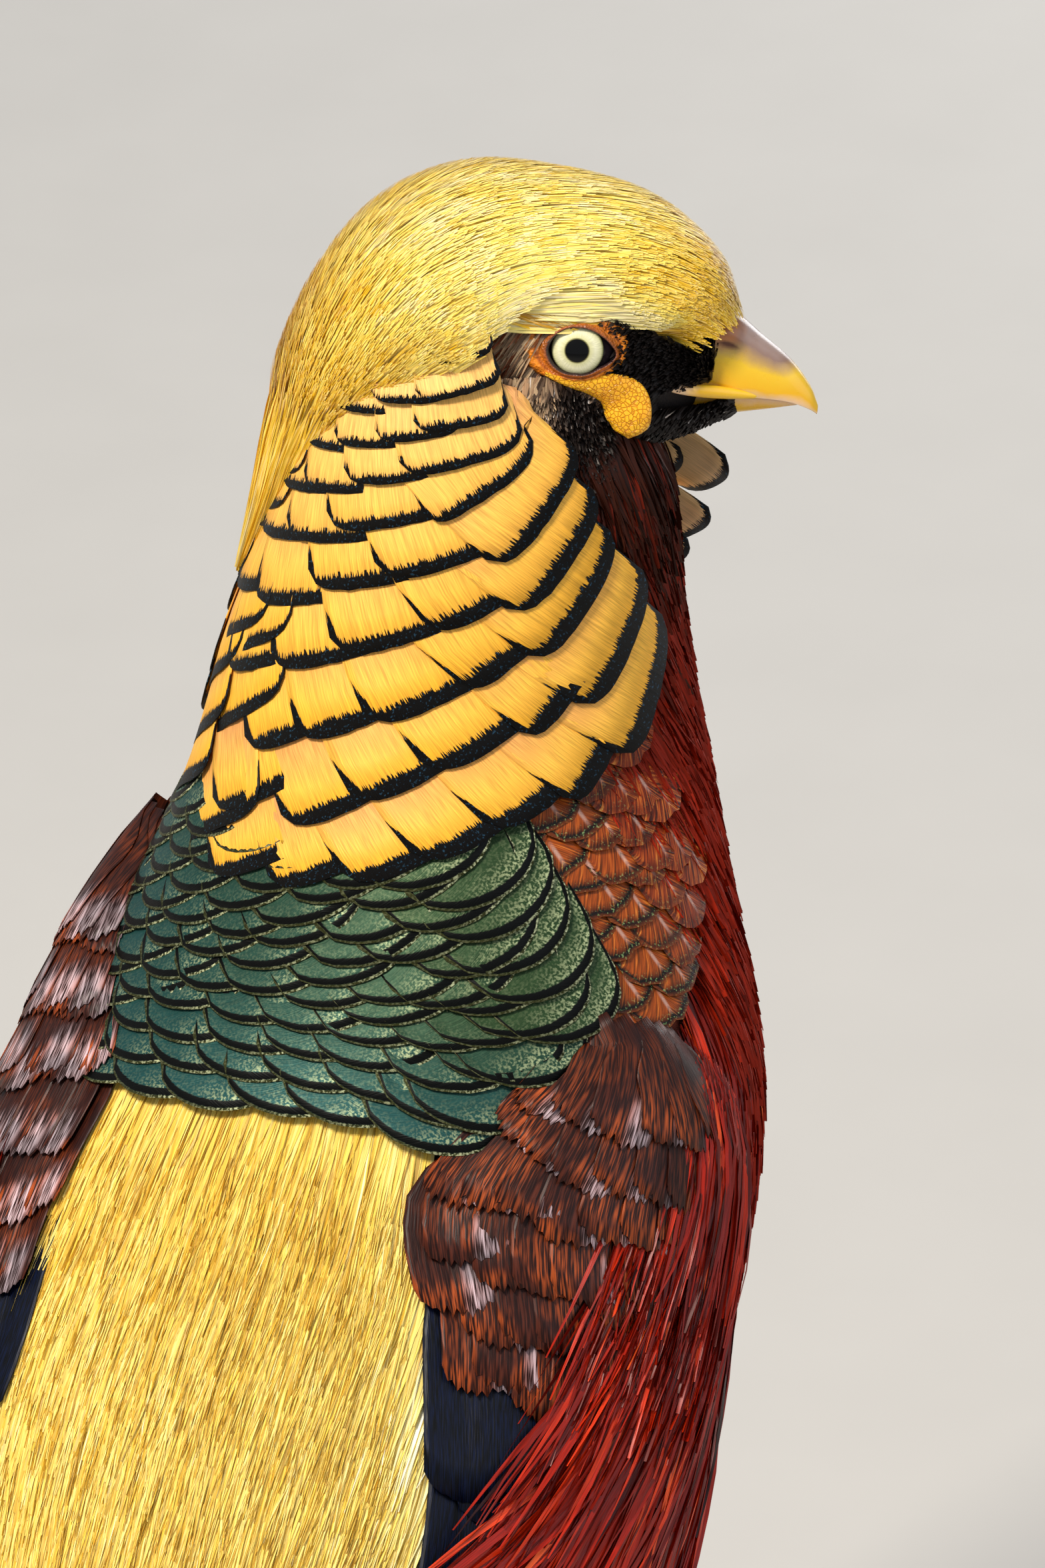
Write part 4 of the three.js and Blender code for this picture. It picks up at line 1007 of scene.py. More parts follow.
def paint_tail(add, mm):
    """Dull tan: black spots on the middle pair, wavy slanting bars on the others, as the species has."""
    far = add("Math", {0: mm["mark"], 1: 50.0}, operation="MULTIPLY")
    place = add("CombineXYZ", {0: mm["x"], 1: mm["y"], 2: far})
    spots = add("TexVoronoi", {"Vector": place, "Scale": 0.3})
    spotted = add("MapRange", {0: spots, 1: 0.34, 2: 0.42})
    central = add("Mix", {0: spotted, 6: "#B88A52", 7: "#1A120C"}, **MIX)
    wander = add("TexNoise", {"Vector": place, "Scale": 0.12, "Detail": 2.0})
    slant = add("Math", {0: mm["aside"], 1: 0.8, 2: mm["y"]}, operation="MULTIPLY_ADD")
    slant = add("Math", {0: wander, 1: 14.0, 2: slant}, operation="MULTIPLY_ADD")
    bars = add("MapRange", {0: add("Math", {0: slant, 1: 4.6}, operation="PINGPONG"), 1: 1.9, 2: 2.5})
    barred = add("Mix", {0: bars, 6: "#A8703A", 7: "#20140E"}, **MIX)
    lateral = add("MapRange", {0: mm["mark"], 1: 0.05, 2: 0.1})
    return add("Mix", {0: lateral, 6: central, 7: barred}, **MIX)


def paint_covert(add, mm):
    """Red narrow spears that go gold towards their roots."""
    inner = add("MapRange", {0: mm["y"], 1: 60.0, 2: 110.0})
    return add("Mix", {0: inner, 6: "#B02A12", 7: "#C9922A"}, **MIX)


def tail():
    feathers = Plumage("tail_feathers", plumage_material("tail_feather", paint_tail, 0.6, 0.45, lean=0.8))
    coverts = Plumage("tail_coverts", plumage_material("tail_covert", paint_covert, 0.5, 0.45, lean=0.6))
    for side, _ in SIDES:
        for k, share in enumerate(PAIRS):
            half = [(t, wide * (1 - 0.04 * k)) for t, wide in RECTRIX]
            height = 4.5 - STACK * (k + (0.5 if side < 0 else 0))
            tail_vane(feathers, 4, share * TAIL_LENGTH - 4, side, 9 + 0.8 * k, height, ROOF + 3 * k, half,
                      60, 10, mark=k / 6)
        for j in range(COVERTS):
            y = 5 + 4.4 * j
            height = 7 + 1.2 * (j % 2) - max(0, 4.4 * j - 4) * math.tan(math.radians(ROOF))
            tail_vane(coverts, 12, 190 - 22 * j + 8 * rng.random(), side, y, height, ROOF, COVERT, 24, 6,
                      splay=1 + 1.5 * j)
    feathers.make("tail", slot="tail_plumage")
    coverts.make("tail", slot="tail_plumage")


# The crest: long silky barbs that rise from the forehead and stream back over the nape

CREST_TUFTS = 1000
BARBS_A_TUFT = 24
# The lower edge of the crest over the brow, seen from the side: forward, then up
BROW = [(-30, -60), (-12, 0), (-5.8, 6.2), (-2, 8.6), (2, 10.9), (6, 10.9), (10.9, 7.8), (14, 4.4), (17, 1.6),
        (21, -1.0), (30, -1.2)]


def crest_drift(root, reach):
    """Where a barb ends that follows the crest's flow for a length of the crest."""
    q = root.copy()
    for _ in range(8):
        s, turn = q.T
        rising = -turn * 6.0 * (1 - smooth(0.0, 0.36, s)) * smooth(6, 45, np.abs(turn))
        falling = turn * 0.35 * smooth(0.4, 0.8, s)
        q = q + np.stack([reach, reach * (rising + falling)], -1) / 8
    return q


def paint_crest(add, mm):
    """Silk: glossy yellow, from brown painted shade in its depths to nearly white painted highlights where
    the strands shine.
    """
    gold = toned((0, "#6E4404"), (0.22, "#C48C0C"), (0.45, "#F0BE18"), (0.75, "#FFE66A"), (1, "#FCEFBC"))
    # Painted highlights: pale streaks along the barbs
    pale = add("MapRange", {0: mm["grain"], 1: 0.5, 2: 0.72, 3: 0.0, 4: 0.45})
    return add("Mix", {0: pale, 6: gold(add, mm), 7: "#FFF0B0"}, **MIX)


def crest():
    material = plumage_material("crest_plumage", paint_crest, 0.35, 0.36, streak=0.2, bump=0.08, gloss=0.3,
                                **{"Sheen Weight": 0.05})
    pieces = [Plumage("crest_inner", material), Plumage("crest_outer", material)]
    tufts = scatter(CREST_TUFTS, (0.0, -90), (0.84, 90))
    s, turn = tufts.T
    # Painted light and shade: tufts are paler over the top of the crown and darker amber at the forehead and
    # towards the crest's end
    pale = smooth(0.06, 0.3, s) * (1 - 0.8 * smooth(0.5, 0.85, s))
    tone = np.clip(0.42 + 0.36 * pale + 0.07 * rng.normal(0, 1, CREST_TUFTS), 0.2, 0.95)
    brow = smooth(62, 84, np.abs(turn)) * (1 - smooth(0.34, 0.5, s)) * smooth(0.02, 0.1, s)
    tone = tone + (0.93 - tone) * brow * 0.9
    layer = rng.random(CREST_TUFTS)
    long = 0.4 + 0.26 * rng.random(CREST_TUFTS) - 0.2 * brow
    for barb in range(BARBS_A_TUFT):
        root = tufts + rng.normal(0, 1, tufts.shape) * (0.01, 1.5)
        root[:, 1] = np.clip(root[:, 1], -92, 92)
        reach = long * (0.85 + 0.3 * rng.random(len(root)))
        middle, tip = crest_drift(root, 0.5 * reach), crest_drift(root, reach)
        bow = (0.5 * (root + tip) - middle)[:, 1] * 0.33
        tip[:, 1] = tip[:, 1] * 0.9 + 0.1 * tufts[:, 1] + rng.normal(0, 1.2, len(root))
        tip[:, 0] = np.minimum(tip[:, 0], 1.04 + 0.03 * rng.random(len(root)))
        outer = barb >= BARBS_A_TUFT // 2
        high = -0.7 + 0.6 * layer + 0.2 * rng.random(len(root)) + 0.25 * outer
        mark = np.clip(tone + 0.07 * rng.normal(0, 1, len(root)), 0, 1)
        seen = in_head(CREST.at(np.stack([root, middle, tip])))
        kept = np.all(seen[..., 2] > straight(BROW, seen[..., 0]), axis=0)
        lay(pieces[outer], CREST, root[kept], tip[kept], 0.42, 6, 1, (-2.4, high[kept]),
            roll=rng.normal(0, 0.1, kept.sum()), sway=bow[kept] + rng.normal(0, 0.3, kept.sum()), early=0.4,
            mark=mark[kept], **HAIR)
    for plumage in pieces:
        plumage.make("head", slot="golden_crest")


# The face: lids and bare skin round the eye, the wattle, the bill and its short feathers

LOOK_UP = math.radians(7.5)
EYE_MIDDLE = (4.0, 1.5)  # forward and up, in the middle of the lids' opening
# Degrees from straight ahead and millimetres from that middle: the lids' edge and the bare skin's
LID_EDGE = [(-6, 5.9), (10, 5.0), (32, 4.2), (60, 3.7), (90, 3.5), (135, 3.8), (180, 4.3), (225, 3.8),
            (270, 3.3), (325, 4.0)]
BARE_EDGE = [(-20, 7.4), (10, 8.4), (32, 7.8), (72, 7.0), (119, 7.6), (149, 8.2), (180, 9.4), (204, 7.8),
             (242, 5.4), (290, 5.2), (316, 5.7)]
# How high the bare skin stands by its share of the way from the lids' edge outwards: two soft folds
FOLDS = [(0, -0.35), (0.03, 0.35), (0.07, 0.62), (0.12, 0.72), (0.2, 0.6), (0.28, 0.2), (0.36, 0.12),
         (0.46, 0.5), (0.6, 0.52), (0.8, 0.3), (1.0, -0.5)]
# The wattle's middle line: forward, up, half width and half thickness
WATTLE_LINE = [(-0.6, -2.2, 0.3, 0.2), (2.8, -3.4, 0.8, 0.5), (6, -3.9, 1.4, 0.8), (9.2, -4.6, 2.8, 1.0),
               (11.4, -6.4, 3.6, 1.2), (12.3, -8.8, 3.4, 1.3), (12.4, -10.8, 2.4, 1.1),
               (12.4, -12, 0.3, 0.4)]
# Forward, height of the culmen, half width of the upper bill, and the height of its cutting edge
UPPER_BILL = [(13.5, 1, 4.6, -5), (17, 2.6, 5.2, -6), (21, 4.5, 5.5, -6.9), (26, 4.4, 4.9, -7.5),
              (31, 0.9, 3.9, -7.8), (35.5, -2.6, 2.7, -8.4), (38.6, -6.4, 1.5, -9.6), (40, -9.4, 0.5, -10.6)]
# Forward, height of the cutting edge, half width of the lower bill, and the height of its keel
LOWER_BILL = [(13.5, -6.5, 4.4, -11.6), (17, -7, 4.8, -12.2), (21, -7.4, 4.8, -12.2), (27, -7.8, 4, -11.4),
              (32, -8.2, 3, -10.5), (36.8, -8.9, 1.3, -9.6)]
# The fleshy corner of the mouth: forward, sideways, up and radius
GAPE = [(16.3, 10.9, -4.7, 0.25), (18.5, 10.1, -5.3, 0.7), (21.5, 8.2, -6.0, 0.95), (25, 6.0, -6.7, 1.0),
        (28.5, 4.4, -7.3, 0.7), (32, 3.2, -7.7, 0.3)]


def around(table, degrees):
    """Values round a closed outline, smoothed."""
    angles, values = np.array(table, float).T
    fine = np.arange(-360, 720, 2.0)
    raw = np.interp(fine, np.concatenate([angles - 360, angles, angles + 360]), np.tile(values, 3))
    kernel = np.hanning(13) / np.hanning(13).sum()
    return np.interp(np.mod(degrees, 360), fine, np.convolve(raw, kernel, "same"))


def whole_turn(count):
    """Angles of a ring's points."""
    return np.radians(np.linspace(0, 360, count + 1)[:-1])


def cheek(forward, up):
    """How far the side of the head lies from its middle plane."""
    _, mid, half, tall = looked_up(HEAD_RINGS, forward)
    return half * np.sqrt(np.maximum(0.02, 1 - ((up - mid) / tall) ** 2))


def ball(forward, up, radius):
    away = (forward - EYE_PLACE[0]) ** 2 + (up - EYE_PLACE[2]) ** 2
    return EYE_PLACE[1] + np.sqrt(np.maximum(0.5, radius**2 - away))


def draw_bare_skin(add):
    """Thin skin over blood: damp, softly lit from inside, orange with a black lid edge.

    Its pebbles are drawn at 0.4 mm, coarser than the finest real ones.
    """
    where = add("TexCoord", out="Object")
    pebbles = add("TexVoronoi", {"Vector": where, "Scale": 2400.0})
    blotch = add("TexNoise", {"Vector": where, "Scale": 500.0, "Detail": 3.0})
    ring = add("ValToRGB", {"Fac": carried(add)[0]},
               stops=((0, "#241418"), (0.06, "#3A2020"), (0.11, "#9A5220"), (0.3, "#D27618"),
                      (0.42, "#A8540E"), (0.55, "#EE8C1A"), (0.85, "#E07C18"), (1, "#8A5020")))
    lit = add("MapRange", {0: blotch, 1: 0.35, 2: 0.65, 3: 0.72, 4: 1.15})
    return {"Base Color": add("VectorMath", {0: ring, "Scale": lit}, operation="SCALE"), "Roughness": 0.42,
            "Normal": add("Bump", {"Strength": 0.6, "Distance": 0.0003, "Height": pebbles}),
            "Subsurface Weight": 0.15, "Subsurface Scale": 0.001, "Subsurface Radius": (1.0, 0.4, 0.2)}


def bare_skin(side, word, material):
    """The lids and the bare skin round the eye: a folded ring from the lids' edge outwards."""
    share = np.array([0, 0.03, 0.07, 0.12, 0.17, 0.22, 0.27, 0.32, 0.38, 0.45, 0.53, 0.62, 0.72, 0.82, 0.92,
                      1])[:, None]
    angle = np.arange(0, 360, 3.0)
    inner, outer = around(LID_EDGE, angle), around(BARE_EDGE, angle)
    radius = inner + (outer - inner) * share
    forward = EYE_MIDDLE[0] + radius * np.cos(np.radians(angle))
    up = EYE_MIDDLE[1] + radius * np.sin(np.radians(angle))
    wrinkle = 0.1 * np.sin(np.radians(angle) * 17 + 6 * share) * smooth(0.3, 0.5, share)
    near, far = ball(forward, up, EYE_RADIUS + 0.15), cheek(forward, up)
    blend = np.maximum(near, far) + 0.5 * np.exp(-np.abs(near - far) * 1.6)
    y = side * (blend + straight(FOLDS, share) + wrinkle)
    mould("bare_skin_" + word, material, (forward, y, up), (share, angle, 0), side, "head",
          slot="golden_crest")


def draw_eye(add):
    """A glass eye: cream iris with faint spokes round a black pupil, under a thin wet gloss."""
    radius, turn, _ = carried(add)
    spokes = add("CombineXYZ", {0: add("Math", {0: turn, 1: 0.35}, operation="MULTIPLY"), 1: radius})
    fibres = add("TexNoise", {"Vector": spokes, "Scale": 1.0, "Detail": 2.0})
    iris = add("ValToRGB", {"Fac": add("MapRange", {0: radius, 1: 0.0, 2: 5.0})},
               stops=((0, "#040404"), (0.34, "#040404"), (0.365, "#6E6A40"), (0.4, "#D2D09C"),
                      (0.55, "#E8E6C2"), (0.72, "#DCDAAA"), (0.765, "#8A8A5A"), (0.785, "#140E10"),
                      (1, "#30262E")))
    lit = add("MapRange", {0: fibres, 1: 0.3, 2: 0.7, 3: 0.86, 4: 1.1})
    return {"Base Color": add("VectorMath", {0: iris, "Scale": lit}, operation="SCALE"), "Roughness": 0.3,
            "Coat Weight": 0.4, "Specular IOR Level": 0.05, "Coat Roughness": 0.02}


def eyeball(side, word, material):
    """The eye: a ball whose clear front bulges a little over the iris."""
    steps = np.concatenate([np.linspace(0, 44, 34), np.linspace(48, 178, 16)])[:, None]
    bulge = EYE_RADIUS - 0.1 + 0.22 * (1 - smooth(30, 48, steps))
    ring = whole_turn(64)
    away = bulge * np.sin(np.radians(steps))
    forward = EYE_PLACE[0] + away * np.cos(ring)
    out, rise = bulge * np.cos(np.radians(steps)), away * np.sin(ring)
    c, s = math.cos(LOOK_UP), math.sin(LOOK_UP)
    y, up = side * (EYE_PLACE[1] + out * c - rise * s), EYE_PLACE[2] + rise * c + out * s
    mould("eye_glass_" + word, material, (forward, y, up), (away, np.degrees(ring), 0), -side, "eye_" + word,
          slot="eye_gloss")


def draw_wattle(add):
    """Waxy yellow flesh, lit from inside, with fine creases between its grains, drawn at 0.7 mm, and painted
    shade: darker orange in the creases.
    """
    where = add("TexCoord", out="Object")
    creases = add("TexVoronoi", {"Vector": where, "Scale": 1500.0}, feature="DISTANCE_TO_EDGE")
    blotch = add("TexNoise", {"Vector": where, "Scale": 350.0, "Detail": 2.0})
    cut = add("MapRange", {0: creases, 1: 0.0, 2: 0.12})
    base = add("Mix", {0: blotch, 6: "#F0A010", 7: "#FFC824"}, **MIX)
    # Painted shade: darker orange where the creases sink
    return {"Base Color": add("Mix", {0: cut, 6: "#E08E10", 7: base}, **MIX), "Roughness": 0.4,
            "Normal": add("Bump", {"Strength": 0.7, "Distance": 0.0003, "Height": cut}),
            "Subsurface Weight": 0.3, "Subsurface Scale": 0.0012, "Subsurface Radius": (1.0, 0.5, 0.15)}


def wattle(side, word, material):
    at = np.linspace(0, len(WATTLE_LINE) - 1, 70)
    forward, up, half, thick = columns(WATTLE_LINE, at)
    half, thick = np.maximum(half, 0.15)[:, None], np.maximum(thick, 0.15)[:, None]
    run = unit(np.stack([np.gradient(forward), np.gradient(up)], -1))
    c, s = np.cos(whole_turn(40)), np.sin(whole_turn(40))
    x = forward[:, None] - run[:, 1:] * half * c
    z = up[:, None] + run[:, :1] * half * c
    folds = np.sin(x * 5.1 + 1.7 * np.sin(z * 2.3)) * np.sin(z * 4.3 + 1.3 * np.sin(x * 3.1))
    hung = smooth(3.0, 5.0, at)[:, None]
    y = cheek(x, z) * (1 - hung) + 14.6 * hung + 0.5 + (thick + 0.09 * folds) * s
    mould("wattle_lobe_" + word, material, (x, side * y, z), (0, 0, 0), side, "wattle_" + word,
          slot="wattle_skin")


def horn_material(name, *stops):
    """Bill and claw keratin: smooth horn, a little see-through, worn duller in fine streaks."""
    def draw(add):
        share, swelling, slit = carried(add)
        where = add("TexCoord", out="Object")
        cloud = add("TexNoise", {"Vector": where, "Scale": 260.0, "Detail": 4.0, "Roughness": 0.6})
        moved = add("Math", {0: cloud, 1: 0.22, 2: share}, operation="MULTIPLY_ADD")
        level = add("Math", {0: moved, 1: 0.11}, operation="SUBTRACT")
        colour = add("ValToRGB", {"Fac": level}, stops=stops)
        lid = add("MapRange", {0: swelling, 1: 0.3, 2: 0.75, 3: 0.0, 4: 0.85})
        colour = add("Mix", {0: lid, 6: colour, 7: "#C07840"}, **MIX)
        # Painted shade: the nostril's slit is painted dark brown, as the shade inside it
        hole = add("MapRange", {0: slit, 1: 0.35, 2: 0.8, 3: 0.0, 4: 0.9})
        return {"Base Color": add("Mix", {0: hole, 6: colour, 7: "#5A2614"}, **MIX),
                "Roughness": add("MapRange", {0: cloud, 1: 0.3, 2: 0.7, 3: 0.22, 4: 0.42}),
                "Normal": add("Bump", {"Strength": 0.2, "Distance": 0.0002, "Height": cloud}),
                "Subsurface Weight": 0.25, "Subsurface Scale": 0.0015, "Subsurface Radius": (1.0, 0.7, 0.3),
                "Coat Weight": 0.2, "Coat Roughness": 0.15}
    return make_material(name, draw)


def bill():
    # Cream at the cutting edge, then yellow, and horn brown along the culmen, turning to a paler grey-purple
    # at its ridge: a painted sheen
    horn = horn_material("bill_keratin", (0, "#F0C8A0"), (0.14, "#F0B818"), (0.46, "#EEC42A"),
                         (0.62, "#BE9A58"), (0.8, "#8A6C5E"), (1, "#A08C86"))
    ring = np.radians(np.linspace(-180, 180, 49)[:-1])
    c, s = np.cos(ring), np.sin(ring)
    belly = np.sign(s) * np.abs(s) ** 0.8
    forward, top, half, edge = evenly(UPPER_BILL, 64)[..., None]
    tall = top - edge
    z = np.where(c > 0, edge + tall * np.abs(c) ** 0.85, edge - 0.25 * np.abs(c))
    nostril = np.exp(-(((forward - 25.4) / 3.2) ** 2 + ((z - 2.6) / 3.2) ** 2))
    slit = np.exp(-(((forward - 26) / 2.0) ** 2 + ((z - 0.2 + 0.25 * (forward - 26)) / 0.5) ** 2))
    y = np.maximum(half, 0.25) * belly * (1 + 0.16 * nostril - 0.22 * slit)
    share = np.clip((z - edge) / np.maximum(tall, 0.5), 0, 1) * (1 - 0.6 * smooth(33, 38, forward))
    mould("bill_upper_horn", horn, (forward, y, z), (share, nostril, slit), 1, "bill_upper", slot="bill_horn")

    forward, top, half, bottom = evenly(LOWER_BILL, 40)[..., None]
    y = np.maximum(half - 0.35, 0.25) * belly
    z = np.where(c > 0, top + 0.1 * c, top + (bottom - top) * np.abs(c))
    share = 0.4 * np.clip((top - z) / 4, 0, 1)
    mould("bill_lower_horn", horn, (forward, y, z), (share, 0, 0), 1, "bill_lower", slot="bill_horn")

    at = np.linspace(0, len(GAPE) - 1, 40)[:, None]
    forward, aside, up, radius = columns(GAPE, at)
    ring = whole_turn(16)
    y, z = aside + radius * 0.8 * np.sin(ring), up + radius * np.cos(ring)
    for side, word in SIDES:
        values = (0.02 + 0.25 * smooth(1.2, 3.6, at), 0, 0)
        mould("gape_" + word, horn, (forward, side * y, z), values, side, slot="bill_horn")


# Short matt down: black at the lores and throat, tan ear coverts, and rare strands painted near white as
# glints of light
paint_face = toned((0, "#0C0908"), (0.2, "#1E1512"), (0.4, "#4A3A30"), (0.6, "#8E745C"), (0.76, "#CDB08A"),
                   (0.86, "#8E4A2A"), (1, "#E0DCD6"))


def face():
    plumage = Plumage("face", plumage_material("face_feather", paint_face, 0.4, 0.5, streak=0.3))
    root = scatter(BARBS["face"], (-18, -179), (28, -30))
    forward = root[:, 0]
    _, mid, _, tall = looked_up(HEAD_RINGS, forward)
    up = mid + np.cos(np.radians(root[:, 1])) * tall
    angle = np.degrees(np.arctan2(up - EYE_MIDDLE[1], forward - EYE_MIDDLE[0]))
    away = np.hypot(up - EYE_MIDDLE[1], forward - EYE_MIDDLE[0])
    bare = around(BARE_EDGE, angle) - 0.2 - 1.9 * rng.random(len(root)) ** 4
    free = (away > bare) & (up < np.clip(straight(BROW, forward) + 0.9, 0, 9.5))
    # Clear of the gape and of both halves of the bill
    free &= ~((forward > 16.5) & (up > -9.0) & (up < -5.4)) & ~((forward > 22.3) & (up > -1.0))
    free &= ~((forward > 24.5) & (up > -9.0))
    root, forward, up = root[free], forward[free], up[free]
    dark = np.clip(smooth(-5, -11, up) + smooth(8, 11, forward), 0, 1)
    tan = smooth(5.5, 0, forward) * smooth(-11, -7, up)
    rust = np.exp(-(((forward + 6.5) / 2.2) ** 2 + ((up - 4.5) / 2.5) ** 2))
    mark = 0.36 + 0.36 * tan * (1 - dark) - 0.28 * dark + 0.16 * rust * tan
    mark = mark + (0.03 + 0.09 * (1 - dark)) * rng.normal(0, 1, len(root))
    chin = smooth(-8, -12, up) * smooth(9, 15, forward)
    mark += 0.2 * chin * rng.random(len(root)) ** 2
    # Painted highlights: a few thin strands on the dark cheek and throat are painted near white as glints
    glint = (rng.random(len(root)) < 0.035) & (up < -6) & (forward > -6)
    mark = np.where(glint, 0.97, np.clip(mark, 0, 0.86))
    long = 2.1 + 4.0 * tan + 1.4 * smooth(-6, -14, up)
    long = long * (0.75 + 0.5 * rng.random(len(root)))
    down = 6 + 4 * rng.normal(0, 1, len(root)) + 9 * smooth(-4, -14, up) + 9 * tan
    tip = root + np.stack([-long * 0.85, -down * long / 4], -1)
    tip[:, 1] = np.maximum(tip[:, 1], -195)
    wide = np.where(glint, 0.3, 0.8 + 0.8 * smooth(-6, -12, up) * (1 - tan))
    high = 0.5 + 0.5 * rng.random(len(root)) + 0.9 * smooth(20, 24, forward) * smooth(-6, -3, up)
    for mirror in (1, -1):
        lay(plumage, HEAD, root * (1, mirror), tip * (1, mirror), wide, 3, 1, (-0.6, high),
            roll=rng.normal(0, 0.1, len(root)), mark=mark, **HAIR)
    # The ear coverts go on over the neck, up to the cape
    for side, _ in SIDES:
        root = scatter(BARBS["ear"], (7.9, 96), (9.7, 162)) * (1, side)
        at = in_head(BODY.at(root))
        free = (at[:, 2] < -2.5) & (at[:, 2] > -18) & (np.abs(at[:, 0]) < 10) & (side * at[:, 1] > 2)
        root, at = root[free], at[free]
        tan = smooth(4.5, -1, at[:, 0]) * smooth(-13, -7, at[:, 2])
        mark = 0.17 + 0.56 * tan + (0.05 + 0.09 * tan) * rng.normal(0, 1, len(root))
        # Painted highlights: a few thin strands of the ear coverts are painted near white as glints
        glint = (rng.random(len(root)) < 0.04) & (at[:, 2] > -13)
        mark = np.where(glint, 0.97, np.clip(mark, 0, 0.8))
        tip = root + np.stack([-0.14 - 0.1 * rng.random(len(root)), side * rng.normal(-3, 2, len(root))], -1)
        lay(plumage, BODY, root, tip, np.where(mark > 0.9, 0.3, 0.8), 3, 1,
            (-2.6, -0.3 + 0.7 * rng.random(len(root))), roll=rng.normal(0, 0.1, len(root)), mark=mark, **HAIR)
    plumage.make("head", slot="golden_crest")


# The legs: short plumage on the thighs, plates and small scales below it, spurs and claws of horn

# Forward, share of the legs' spread, height, depth and half width down the thigh
THIGH = [(16, 0.85, 143, 12, 9), (8, 0.9, 128, 22, 17.5), (0, 0.95, 112, 20, 17), (-12, 1, 96, 14, 12),
         (-24, 1, 84, 7.5, 6.4), (-29, 1, 79, 5.2, 4.4)]
# Forward, height and radius down the shank
SHANK = [(-27, 81, 4.0), (-28, 77, 4.8), (-27.5, 71, 4.2), (-22, 42, 3.3), (-18, 14, 3.6), (-16.5, 8.2, 4.4),
         (-15.5, 4, 5.0), (-15.5, 1.2, 4.8)]
# Forward, inward, height and radius along the spur
SPUR = [(-20.6, 1.5, 30, 1.8), (-24.6, 3.4, 30.5, 1.2), (-28.1, 4.6, 32, 0.3)]
TOES = [(28, 38), (0, 48), (-28, 37), (172, 15)]  # degrees from straight ahead, length
# Share of the toe's length, height and radius along the nail
NAIL = [(0.77, 2.4, 1.7), (0.84, 2.9, 1.55), (0.93, 2.7, 1.1), (1.02, 0.9, 0.3)]
UP = np.array([0, 0, 1.0])

# Soft matt rusty plumage
paint_thigh = toned((0, "#74200C"), (1, "#B84A22"))


def thigh_sheet(side):
    def place(s, turn):
        x, y, z, deep, wide = columns(THIGH, s)
        run = unit((through(THIGH, s + 0.05) - through(THIGH, s - 0.05))[..., [0, 2]])
        turn = np.radians(turn)
        x = x - run[..., 1] * deep * np.cos(turn)
        z = z + run[..., 0] * deep * np.cos(turn)
        return np.stack([x, side * (y * LEG_SPREAD + wide * np.sin(turn)), z], -1)

    return Sheet(place, np.arange(0, 5.3, 0.1), np.arange(-190, 191, 5.0), -side, ((0, -180), (6, 360)))


def thigh(side, word, material):
    plumage = Plumage("plumage_of_thigh_" + word, material)
    root = scatter(BARBS["thigh"], (0.1, -180), (4.7, 180))
    long = 0.55 + 0.3 * rng.random(len(root))
    tip = root + np.stack([long, rng.normal(0, 9, len(root))], -1)
    tip[:, 0] = np.minimum(tip[:, 0], 5.0 + 0.2 * rng.random(len(root)))
    tip[:, 1] = np.clip(tip[:, 1], -188, 188)
    lay(plumage, thigh_sheet(side), root, tip, 1.5, 3, 1, (-1.5, 0.2 + 0.8 * rng.random(len(root))), **HAIR)
    plumage.make("thigh_" + word, slot="thigh_plumage")


def tube(path, radius, forward, pitch=0.0, depth=0.0, flat=1.0, sides=24, fade=math.inf):
    """A round limb along a path, closed at both ends: points, faces and values for its horn.

    forward is the way its plates face, pitch and depth how far apart and how proud they are, and fade
    how many millimetres of a plain one its horn's colours take.
    """
    run = np.concatenate([[0], np.cumsum(np.linalg.norm(np.diff(path, axis=0), axis=1))])
    way = unit(np.gradient(path, axis=0))
    aside = unit(np.cross(way, np.array(forward, float)))
    over = np.cross(aside, way)
    turn = np.linspace(0, 2 * np.pi, sides + 1)[:-1]
    c, s = np.cos(turn), np.sin(turn)
    plate = ((run / pitch) % 1 if pitch else run / fade)[:, None]
    proud = 1 + depth * (1 - plate) * smooth(-0.3, 0.4, c)
    ring = over[:, None] * c[:, None] + aside[:, None] * s[:, None] * flat
    points = path[:, None] + ring * (proud * radius[:, None])[..., None]
    points = np.concatenate([path[:1, None] + 0 * points[:1], points, path[-1:, None] + 0 * points[-1:]])
    points[..., 2] = np.maximum(points[..., 2], 0.12)
    value = np.stack(np.broadcast_arrays(plate, c * (pitch > 0), 0.0), -1)
    value = np.concatenate([value[:1], value, value[-1:]])
    return points.reshape(-1, 3), joined_grid(points, 1), value.reshape(-1, 3)


def limb(name, material, node, slot, *tubes):
    """One piece of some tubes."""
    points, faces, values = zip(*tubes)
    starts = np.cumsum([0] + [len(p) for p in points[:-1]])
    faces = np.concatenate([f + start for f, start in zip(faces, starts)])
    settle(make_piece(name, np.concatenate(points), faces, material, np.concatenate(values)), node, slot=slot)


def draw_leg(add):
    """Dry scaled leg skin: hard waxy plates in front, pebbled scales behind, and dull dark brown in the
    seams: painted shade.
    """
    plate, facing, _ = carried(add)
    where = add("TexCoord", out="Object")
    cells = add("TexVoronoi", {"Vector": where, "Scale": 620.0}, feature="DISTANCE_TO_EDGE")
    pebbles = add("MapRange", {0: cells, 1: 0.02, 2: 0.12})
    seam = add("MapRange", {0: plate, 1: 0.03, 2: 0.14})
    front = add("MapRange", {0: facing, 1: -0.15, 2: 0.15})
    depth = add("Mix", {0: front, 6: pebbles, 7: seam}, **MIX)
    cloud = add("TexNoise", {"Vector": where, "Scale": 180.0, "Detail": 3.0})
    horn = add("Mix", {0: cloud, 6: "#A8905A", 7: "#D2BC7C"}, **MIX)
    # Painted shade: dark brown where the seams between plates and scales sink
    return {"Base Color": add("Mix", {0: depth, 6: "#5E4C30", 7: horn}, **MIX), "Roughness": 0.45,
            "Normal": add("Bump", {"Strength": 0.5, "Distance": 0.0003, "Height": depth})}


